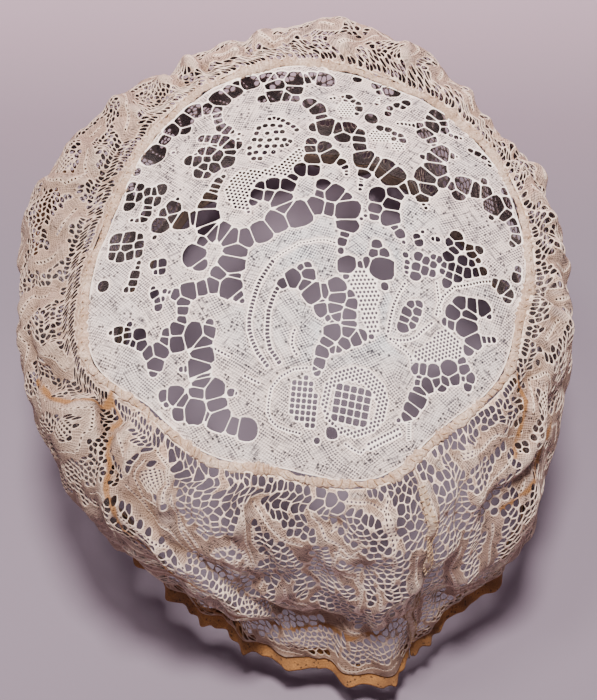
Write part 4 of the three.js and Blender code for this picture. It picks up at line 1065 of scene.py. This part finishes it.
def buildFrill():
    xs = np.linspace(0, bandForm["flatLength"], frillForm["columns"] + 1)
    shares = np.linspace(0, 1, frillForm["rows"] + 1)
    x, share = (grid.ravel() for grid in np.meshgrid(xs, shares, indexing="ij"))
    depth = bandDepth(x)
    turn = 2*math.pi*x/bandForm["flatLength"]
    edge = frillForm["reach"] + frillForm["scallop"]*(np.sin(41*turn + 2*np.sin(5*turn)) + .5*np.sin(97*turn))
    y = depth - frillForm["lap"] + share*(frillForm["lap"] + edge)
    flare = frillForm["flare"]*smoothStep(share, .45, 1)*np.sin(frillForm["waves"]*turn + 5*np.sin(7*turn))
    half = frillForm["thickness"]/2
    angle = np.interp(x, np.linspace(0, bandForm["flatLength"], len(bandAngles)), bandAngles)
    outwards = spoke(angle, hemUp)
    atNape = smoothStep(-np.sin(np.radians(angle)), -.3, .5)[:, None]
    hanging = unit((1 - atNape)*-hemOut + atNape*np.array([0, 0, -1.0]) + frillForm["outward"]*outwards)
    past = np.maximum(y - depth, 0)[:, None]
    free = smoothStep(y - depth, -1, 3)[:, None]
    folded = flare[:, None]*free*outwards
    under = (1 - free[:, 0])*flare - frillForm["under"]
    upper, lower = (bandPlace(x, np.minimum(y, depth), under + side) + past*hanging + folded for side in (half, -half))
    triangles = closedSheet(gridTriangles(frillForm["columns"], frillForm["rows"]), len(x))
    flat = np.tile(np.column_stack([x, y - depth + frillForm["lap"]]), (2, 1))
    inner = {"inner": np.repeat([0.0, 1.0], len(x))}
    return makeMesh("hemRuffle", np.concatenate([upper, lower])*metre, triangles, inner, flat)


frillPiece = buildFrill()
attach(frillPiece, "root")
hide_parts("hem_frill")

# Lapped seam: the band's two ends turned over each other
joinForm = {"halfWidth": 2.0, "fromY": 8.0, "above": .7, "columns": 8, "rows": 110, "thickness": .7, "lip": .35}


def buildJoin():
    acrosses = np.linspace(-1, 1, joinForm["columns"] + 1)
    ys = np.linspace(joinForm["fromY"], bandDepth(0.0) - 6, joinForm["rows"] + 1)
    across, y = (grid.ravel() for grid in np.meshgrid(acrosses, ys, indexing="ij"))
    wander = .5*np.sin(y/9) + .3*np.sin(y/3.7)
    x = np.mod(across*joinForm["halfWidth"] + wander, bandForm["flatLength"])
    rise = joinForm["above"] + joinForm["lip"]*np.abs(across)**6 + .25*np.sin(y/1.6)
    half = joinForm["thickness"]/2
    points = np.concatenate([bandPlace(x, y, rise + half), bandPlace(x, y, rise - half)])
    triangles = closedSheet(gridTriangles(joinForm["columns"], joinForm["rows"]), len(x))
    flat = np.tile(np.column_stack([across*joinForm["halfWidth"], y]), (2, 1))
    return makeMesh("bandJoin", points*metre, triangles, None, flat)


joinPiece = buildJoin()
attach(joinPiece, "root")
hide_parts("band_join")
print("roll, ruffle and join done")


# Stitches by Geometry Nodes: a small arched thread repeated along a line, turned at random
def stitchTree():
    tree = bpy.data.node_groups.new("stitchRow", "GeometryNodeTree")
    face = tree.interface
    face.new_socket("Geometry", in_out="INPUT", socket_type="NodeSocketGeometry")
    for label, kind in (("Pitch", "NodeSocketFloat"), ("Length", "NodeSocketFloat"), ("Thickness", "NodeSocketFloat"),
                        ("Slant", "NodeSocketFloat"), ("Unevenness", "NodeSocketFloat"), ("Seed", "NodeSocketInt"),
                        ("Thread", "NodeSocketMaterial")):
        face.new_socket(label, in_out="INPUT", socket_type=kind)
    face.new_socket("Geometry", in_out="OUTPUT", socket_type="NodeSocketGeometry")
    nodes, links = tree.nodes, tree.links

    def node(kind, **settings):
        made = nodes.new(kind)
        for label, value in settings.items():
            setattr(made, label, value)
        return made

    given, result = node("NodeGroupInput"), node("NodeGroupOutput")
    resample = node("GeometryNodeResampleCurve", mode="LENGTH")
    links.new(given.outputs["Geometry"], resample.inputs["Curve"])
    links.new(given.outputs["Pitch"], resample.inputs["Length"])
    arc = node("GeometryNodeCurveQuadraticBezier")
    arc.inputs["Resolution"].default_value = 6
    halve = node("ShaderNodeMath", operation="MULTIPLY")
    halve.inputs[1].default_value = .5
    links.new(given.outputs["Length"], halve.inputs[0])
    minus = node("ShaderNodeMath", operation="MULTIPLY")
    minus.inputs[1].default_value = -1
    links.new(halve.outputs[0], minus.inputs[0])
    for source, target, height in ((minus, "Start", None), (halve, "End", None), (None, "Middle", halve)):
        place = node("ShaderNodeCombineXYZ")
        if source:
            links.new(source.outputs[0], place.inputs["Y"])
        if height:
            links.new(height.outputs[0], place.inputs["Z"])
        links.new(place.outputs[0], arc.inputs[target])
    ring = node("GeometryNodeCurvePrimitiveCircle")
    ring.inputs["Resolution"].default_value = 6
    links.new(given.outputs["Thickness"], ring.inputs["Radius"])
    thread = node("GeometryNodeCurveToMesh")
    thread.inputs["Fill Caps"].default_value = True
    links.new(arc.outputs["Curve"], thread.inputs["Curve"])
    links.new(ring.outputs["Curve"], thread.inputs["Profile Curve"])
    tangent, normal = node("GeometryNodeInputTangent"), node("GeometryNodeInputNormal")
    alignUp = node("FunctionNodeAlignRotationToVector", axis="Z")
    alignAlong = node("FunctionNodeAlignRotationToVector", axis="X", pivot_axis="Z")
    links.new(normal.outputs[0], alignUp.inputs["Vector"])
    links.new(alignUp.outputs[0], alignAlong.inputs["Rotation"])
    links.new(tangent.outputs[0], alignAlong.inputs["Vector"])
    points = node("GeometryNodeInstanceOnPoints")
    links.new(resample.outputs["Curve"], points.inputs["Points"])
    links.new(thread.outputs["Mesh"], points.inputs["Instance"])
    links.new(alignAlong.outputs[0], points.inputs["Rotation"])
    lowest = node("ShaderNodeMath", operation="SUBTRACT")
    links.new(given.outputs["Slant"], lowest.inputs[0])
    links.new(given.outputs["Unevenness"], lowest.inputs[1])
    highest = node("ShaderNodeMath", operation="ADD")
    links.new(given.outputs["Slant"], highest.inputs[0])
    links.new(given.outputs["Unevenness"], highest.inputs[1])
    chance = node("FunctionNodeRandomValue", data_type="FLOAT")
    links.new(given.outputs["Seed"], chance.inputs["Seed"])
    floats = [socket for socket in chance.inputs if socket.type == "VALUE"]
    links.new(lowest.outputs[0], floats[0])
    links.new(highest.outputs[0], floats[1])
    turn = node("ShaderNodeCombineXYZ")
    links.new([socket for socket in chance.outputs if socket.type == "VALUE"][0], turn.inputs["Z"])
    rotate = node("GeometryNodeRotateInstances")
    links.new(points.outputs["Instances"], rotate.inputs["Instances"])
    links.new(turn.outputs[0], rotate.inputs["Rotation"])
    real = node("GeometryNodeRealizeInstances")
    links.new(rotate.outputs["Instances"], real.inputs["Geometry"])
    smooth = node("GeometryNodeSetShadeSmooth")
    links.new(real.outputs["Geometry"], smooth.inputs["Geometry"])
    paint = node("GeometryNodeSetMaterial")
    links.new(smooth.outputs["Geometry"], paint.inputs["Geometry"])
    links.new(given.outputs["Thread"], paint.inputs["Material"])
    links.new(paint.outputs["Geometry"], result.inputs["Geometry"])
    return tree


stitchNodes = stitchTree()


# Stitches along lines of places in millimetres, each turned to the line's own normal
def stitchRow(name, lines, material, closed, **values):
    curve = bpy.data.curves.new(name + "Line", "CURVE")
    curve.dimensions = "3D"
    curve.twist_mode = "Z_UP"
    for line in lines:
        spline = curve.splines.new("POLY")
        spline.points.add(len(line) - 1)
        spline.points.foreach_set("co", np.column_stack([line*metre, np.ones(len(line))]).ravel())
        spline.use_cyclic_u = closed
    holder = bpy.data.objects.new(name + "Line", curve)
    bpy.context.scene.collection.objects.link(holder)
    modifier = holder.modifiers.new("stitches", "NODES")
    modifier.node_group = stitchNodes
    sockets = {item.name: item.identifier for item in stitchNodes.interface.items_tree if item.in_out == "INPUT"}
    for label, value in {**values, "Thread": material}.items():
        modifier[sockets[label]] = value
    evaluated = holder.evaluated_get(bpy.context.evaluated_depsgraph_get())
    mesh = bpy.data.meshes.new_from_object(evaluated)
    mesh.name = name
    holder.modifiers.clear()
    bpy.data.objects.remove(holder)
    piece = bpy.data.objects.new(name, mesh)
    bpy.context.scene.collection.objects.link(piece)
    return piece


# Finishes. Every texture reads the piece's own flat or object coordinates, in metres.
class Finish:
    def __init__(self, name, roughness):
        self.material = bpy.data.materials.new(name)
        self.material.use_nodes = True
        self.tree = self.material.node_tree
        self.shader = self.tree.nodes["Principled BSDF"]
        self.shader.inputs["Roughness"].default_value = roughness

    def node(self, kind, inputs=None, **settings):
        made = self.tree.nodes.new(kind)
        for label, value in settings.items():
            setattr(made, label, value)
        for label, value in (inputs or {}).items():
            self.feed(made.inputs[label], value)
        return made

    def feed(self, socket, value):
        if isinstance(value, bpy.types.NodeSocket):
            self.tree.links.new(value, socket)
        else:
            socket.default_value = value

    def math(self, operation, *values, clamp=False):
        made = self.node("ShaderNodeMath", operation=operation, use_clamp=clamp)
        for socket, value in zip(made.inputs, values):
            self.feed(socket, value)
        return made.outputs[0]

    def between(self, value, low, high, start=0.0, end=1.0):
        made = self.node("ShaderNodeMapRange", {"Value": value, "From Min": low, "From Max": high, "To Min": start,
                                                "To Max": end}, interpolation_type="SMOOTHSTEP")
        return made.outputs["Result"]

    def mix(self, share, first, second):
        made = self.node("ShaderNodeMix", data_type="RGBA")
        for socket, value in zip((made.inputs[0], made.inputs[6], made.inputs[7]), (share, first, second)):
            self.feed(socket, value)
        return made.outputs[2]

    def objectPlace(self):
        return self.node("ShaderNodeTexCoord").outputs["Object"]

    def flatPlace(self):
        return self.node("ShaderNodeUVMap", uv_map="flat").outputs["UV"]

    def noise(self, place, size, detail=2.0):
        made = self.node("ShaderNodeTexNoise", {"Vector": place, "Scale": 1/size, "Detail": detail})
        return made.outputs["Fac"]

    def cells(self, place, size, label="Distance", randomness=1.0):
        made = self.node("ShaderNodeTexVoronoi", {"Vector": place, "Scale": 1/size, "Randomness": randomness})
        return made.outputs[label]

    def bands(self, place, period, distortion=0.0):
        made = self.node("ShaderNodeTexWave", {"Vector": place, "Scale": 2*math.pi/(20*period),
                                               "Distortion": distortion}, bands_direction="X")
        return made.outputs["Fac"]

    def attribute(self, name):
        return self.node("ShaderNodeAttribute", attribute_name=name).outputs["Fac"]

    def finish(self, colour, height, depth):
        bump = self.node("ShaderNodeBump", {"Height": height, "Distance": depth})
        self.feed(self.shader.inputs["Normal"], bump.outputs["Normal"])
        self.feed(self.shader.inputs["Base Color"], colour)
        return self.material


# A colour given as it looks on a screen
def colour(red, green, blue):
    def linear(value):
        value /= 255
        return value/12.92 if value <= .04045 else ((value + .055)/1.055)**2.4
    return (linear(red), linear(green), linear(blue), 1.0)


def laceFinish(name, tones, coolMiddle, coolReach, weave):
    made = Finish(name, .85)
    flat, place = made.flatPlace(), made.objectPlace()
    # Two sets of threads that cross, with gaps between them. Their slant wanders from motif to motif.
    slant = made.math("MULTIPLY_ADD", made.cells(flat, .022, "Color"), 1.1, .25)
    turned = made.node("ShaderNodeVectorRotate", {"Vector": flat, "Angle": slant}, rotation_type="Z_AXIS").outputs[0]
    crossed = made.node("ShaderNodeVectorRotate", {"Vector": turned, "Angle": 1.4}, rotation_type="Z_AXIS").outputs[0]
    gaps = made.math("MULTIPLY", made.bands(turned, weave, .4), made.bands(crossed, weave*1.15, .4))
    gaps = made.between(gaps, .06, .42)
    drawn = [made.noise(made.node("ShaderNodeVectorMath", {0: heading, 1: (1.0, .1, 1.0)}, operation="MULTIPLY").outputs[0],
                        .0009, 2.0) for heading in (turned, crossed)]
    drawn = made.between(made.math("MAXIMUM", *drawn), .54, .7)
    loose = made.between(made.noise(flat, .007, 2.0), .4, .58, .3, 1.0)
    pinholes = made.between(made.cells(turned, .0019, randomness=.6), .2, .36, 1.0, 0.0)
    pinholes = made.math("MULTIPLY", pinholes, made.between(made.noise(flat, .005, 1.0), .45, .52))
    away = made.attribute("away")
    cloth = made.between(away, .2, .9)
    distance = made.node("ShaderNodeVectorMath", {0: place, 1: coolMiddle}, operation="DISTANCE").outputs["Value"]
    coolness = made.between(distance, coolReach*.35, coolReach, 1.0, 0.0)
    coolness = made.math("ADD", coolness, made.between(made.noise(place, .03), .35, .65, -.3, .3), clamp=True)
    base = made.mix(coolness, tones["warm"], tones["cool"])
    # Darker blotches at random over the cloth
    base = made.mix(made.between(made.noise(place, .01, 3.0), .35, .7, 0.0, .5), base, tones["blotchTone"])
    base = made.mix(made.between(away, .5, 2.0, .5, 0.0), base, tones["edge"])
    base = made.mix(made.math("MULTIPLY", made.math("MULTIPLY", gaps, loose), made.math("MULTIPLY", cloth, .85)), base,
                    tones["gap"])
    base = made.mix(made.math("MULTIPLY", drawn, made.math("MULTIPLY", cloth, .75)), base, tones["gap"])
    base = made.mix(made.math("MULTIPLY", pinholes, made.math("MULTIPLY", cloth, .9)), base, tones["pinhole"])
    base = made.mix(made.between(away, .05, .6, .9, 0.0), base, tones["thread"])
    # Painted shade in the fold valleys and a painted highlight on the ridges, both taken from the relief of the gathers
    relief = made.attribute("relief")
    base = made.mix(made.between(relief, 0.0, -2.6, 0.0, .6), base, tones["valleyShade"])
    base = made.mix(made.between(relief, .4, 2.2, 0.0, .45), base, tones["thread"])
    # Painted shade: darker and browner towards the hem, where the band turns down away from the light
    base = made.mix(made.between(made.attribute("hemward"), .55, 1.0, 0.0, .55), base, tones["hem"])
    acrossX = made.node("ShaderNodeSeparateXYZ", {"Vector": place}).outputs["X"]
    base = made.mix(made.between(acrossX, -.045, -.11, 0.0, tones["leftShare"]), base, tones["left"])
    # Painted shade: the lace's inner face is darkened towards grey, as the shaded inside of the cap
    base = made.mix(made.math("MULTIPLY", made.attribute("inner"), .74), base, colour(84, 80, 88))
    # Ochre: painted shade along the fold edges and creases, stain in the two wider patches
    base = made.mix(made.between(made.attribute("stain"), .2, .7, 0.0, .9), base, colour(134, 88, 42))
    height = made.math("ADD", made.math("MULTIPLY", gaps, -.6), made.math("MULTIPLY", pinholes, -.8))
    height = made.math("MULTIPLY", height, cloth)
    height = made.math("ADD", height, made.math("MULTIPLY", made.noise(flat, .0009), .7))
    return made.finish(base, height, .0005)


def threadFinish(name, first, second, dark, grain):
    made = Finish(name, .85)
    place = made.objectPlace()
    fine, broad = made.noise(place, grain, 3.0), made.noise(place, .012, 2.0)
    base = made.mix(made.between(broad, .35, .65), first, second)
    base = made.mix(made.between(fine, .35, .7, .55, 0.0), base, dark)
    return made.finish(base, fine, .0006)


def ochreFinish():
    made = Finish("ochreRuffle", .85)
    flat, place = made.flatPlace(), made.objectPlace()
    pinholes = made.between(made.cells(flat, .0021, randomness=.8), .16, .34, 1.0, 0.0)
    broad, fine = made.noise(place, .01, 3.0), made.noise(flat, .0008, 2.0)
    base = made.mix(made.between(broad, .3, .7), colour(168, 114, 60), colour(120, 78, 42))
    base = made.mix(made.between(fine, .4, .7, .45, 0.0), base, colour(92, 58, 30))
    base = made.mix(made.math("MULTIPLY", pinholes, .75), base, colour(84, 54, 30))
    # Painted shade: the ruffle's inner face is darkened towards grey-brown, as the shaded inside of the cap
    base = made.mix(made.math("MULTIPLY", made.attribute("inner"), .8), base, colour(78, 70, 70))
    height = made.math("ADD", made.math("MULTIPLY", pinholes, -1.0), made.math("MULTIPLY", fine, .6))
    return made.finish(base, height, .0005)


crownTones = {
    "warm": colour(230, 209, 200), "cool": colour(216, 212, 212), "blotchTone": colour(200, 184, 180), "edge": colour(236, 208, 196),
    "gap": colour(56, 53, 64), "pinhole": colour(36, 34, 44), "thread": colour(252, 238, 228),
    "valleyShade": colour(178, 160, 148), "hem": colour(200, 184, 172), "left": colour(190, 170, 160), "leftShare": .15,
}
bandTones = {
    "warm": colour(192, 158, 140), "cool": colour(184, 172, 168), "blotchTone": colour(150, 122, 104), "edge": colour(200, 161, 135),
    "gap": colour(76, 64, 62), "pinhole": colour(40, 34, 38), "thread": colour(222, 196, 178),
    "valleyShade": colour(118, 88, 66), "hem": colour(132, 100, 78), "left": colour(138, 112, 96), "leftShare": .55,
}
crownFinish = laceFinish("crownCloth", crownTones, (.02, -.12, .13), .085, .001)
bandFinish = laceFinish("bandCloth", bandTones, (.03, -.16, .06), .07, .001)
rollFinish = threadFinish("rollCloth", colour(206, 178, 160), colour(180, 148, 126), colour(104, 76, 56), .0009)
joinFinish = threadFinish("joinCloth", colour(206, 184, 166), colour(188, 162, 140), colour(140, 110, 84), .0013)
tanThread = threadFinish("tanThread", colour(214, 182, 150), colour(184, 146, 108), colour(132, 98, 66), .0006)
ochreCloth = ochreFinish()

for piece, finish in [(crownPiece, crownFinish), (rollPiece, rollFinish), (frillPiece, ochreCloth),
                      (joinPiece, joinFinish), *[(piece, bandFinish) for piece in bandPieces]]:
    piece.data.materials.append(finish)

# Whip stitches over the seam roll and along the lapped seam
stitchForm = {"rollPitch": .0037, "rollLength": .0042, "thread": .00017, "joinPitch": .0026, "joinLength": .0026}


def rollStitches():
    angles = np.linspace(0, 360, 1441)[:-1]
    middles, _ = rollLine(angles)
    line = middles + (rollForm["halfHeight"]*.72)*crownOut
    return stitchRow("rollStitches", [line], tanThread, True, Pitch=stitchForm["rollPitch"],
                     Length=stitchForm["rollLength"], Thickness=stitchForm["thread"], Slant=.5, Unevenness=.9, Seed=3)


def joinStitches():
    ys = np.linspace(joinForm["fromY"] + 1, bandDepth(0.0) - 7, 160)
    lines = []
    for side in (-.8, .8):
        x = np.mod(side*joinForm["halfWidth"] + .5*np.sin(ys/9) + .3*np.sin(ys/3.7), bandForm["flatLength"])
        lines.append(bandPlace(x, ys, joinForm["above"] + .35))
    return stitchRow("joinStitches", lines, tanThread, False, Pitch=stitchForm["joinPitch"],
                     Length=stitchForm["joinLength"], Thickness=stitchForm["thread"], Slant=.4, Unevenness=.5, Seed=6)


for piece in (rollStitches(), joinStitches()):
    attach(piece, "root")
    print(piece.name, len(piece.data.polygons))

# Studio: a floor that sweeps up behind, with painted shade low down, a broad lamp above the camera and a soft room
studio = {"floor": -.12, "back": .1, "bend": .22, "halfWidth": 6.0, "front": -6.0, "top": 3.0}


def buildStage():
    profile = [(studio["front"], studio["floor"]), (studio["back"] - studio["bend"], studio["floor"])]
    for step in range(1, 17):
        turn = math.pi/2*step/16
        profile.append((studio["back"] - studio["bend"] + studio["bend"]*math.sin(turn),
                        studio["floor"] + studio["bend"]*(1 - math.cos(turn))))
    profile.append((studio["back"], studio["top"]))
    points = [(x, y, z) for y, z in profile for x in (-studio["halfWidth"], studio["halfWidth"])]
    faces = [(2*k, 2*k + 1, 2*k + 3, 2*k + 2) for k in range(len(profile) - 1)]
    # The floor goes on behind the sweep, for the views from behind
    first = len(points)
    points += [(x, y, studio["floor"]) for y in (studio["back"] - studio["bend"], -studio["front"])
               for x in (-studio["halfWidth"], studio["halfWidth"])]
    faces.append((first, first + 1, first + 3, first + 2))
    mesh = bpy.data.meshes.new("studioSweep")
    mesh.from_pydata(points, [], faces)
    mesh.polygons.foreach_set("use_smooth", [True]*len(faces))
    sweep = bpy.data.objects.new("studioSweep", mesh)
    bpy.context.scene.collection.objects.link(sweep)
    made = Finish("studioPaper", .9)
    up = made.node("ShaderNodeSeparateXYZ", {"Vector": made.objectPlace()}).outputs["Z"]
    # Painted shade: the paper is dark at floor level and grows pale up the wall
    paper = made.mix(made.between(up, .0, .34), colour(120, 107, 119), colour(214, 178, 194))
    # Seen from behind, the paper is clear, so that it hides the cap from no side
    clear = made.math("SUBTRACT", 1.0, made.node("ShaderNodeNewGeometry").outputs["Backfacing"])
    made.feed(made.shader.inputs["Alpha"], clear)
    mesh.materials.append(made.finish(paper, made.noise(made.objectPlace(), .4), .0001))


def areaLamp(name, azimuth, elevation, distance, size, power, tint, aim=(0, -.02, .03)):
    lamp = bpy.data.lights.new(name, "AREA")
    lamp.shape, lamp.size, lamp.energy, lamp.color = "DISK", size, power, tint
    holder = bpy.data.objects.new(name, lamp)
    a, e = math.radians(azimuth), math.radians(elevation)
    back = Vector((math.sin(a)*math.cos(e), -math.cos(a)*math.cos(e), math.sin(e)))
    holder.location = Vector(aim) + back*distance
    holder.rotation_mode = "QUATERNION"
    holder.rotation_quaternion = (-back).to_track_quat("-Z", "Y")
    bpy.context.scene.collection.objects.link(holder)


buildStage()
areaLamp("keyLamp", -1, 54, 1.3, .2, 42, (1, .975, .94))
areaLamp("sideLamp", -27, 56, 1.3, .25, 8, (1, .97, .93))
world = bpy.data.worlds.new("softRoom")
world.use_nodes = True
world.node_tree.nodes["Background"].inputs["Color"].default_value = (.74, .86, 1, 1)
world.node_tree.nodes["Background"].inputs["Strength"].default_value = .08
bpy.context.scene.world = world

# The camera stands behind and above, as in the photograph
shot = {"place": (-.003, -.6872, .4101), "aim": (-.00724, -.0327, .0436), "lens": 101.3}
camera = bpy.data.cameras.new("camera")
camera.sensor_fit, camera.sensor_width, camera.lens = "HORIZONTAL", 36, shot["lens"]
camera.clip_start, camera.clip_end = .01, 20
viewer = bpy.data.objects.new("camera", camera)
viewer.location = shot["place"]
viewer.rotation_mode = "QUATERNION"
viewer.rotation_quaternion = (Vector(shot["aim"]) - Vector(shot["place"])).to_track_quat("-Z", "Y")
bpy.context.scene.collection.objects.link(viewer)
bpy.context.scene.camera = viewer
print("studio done")
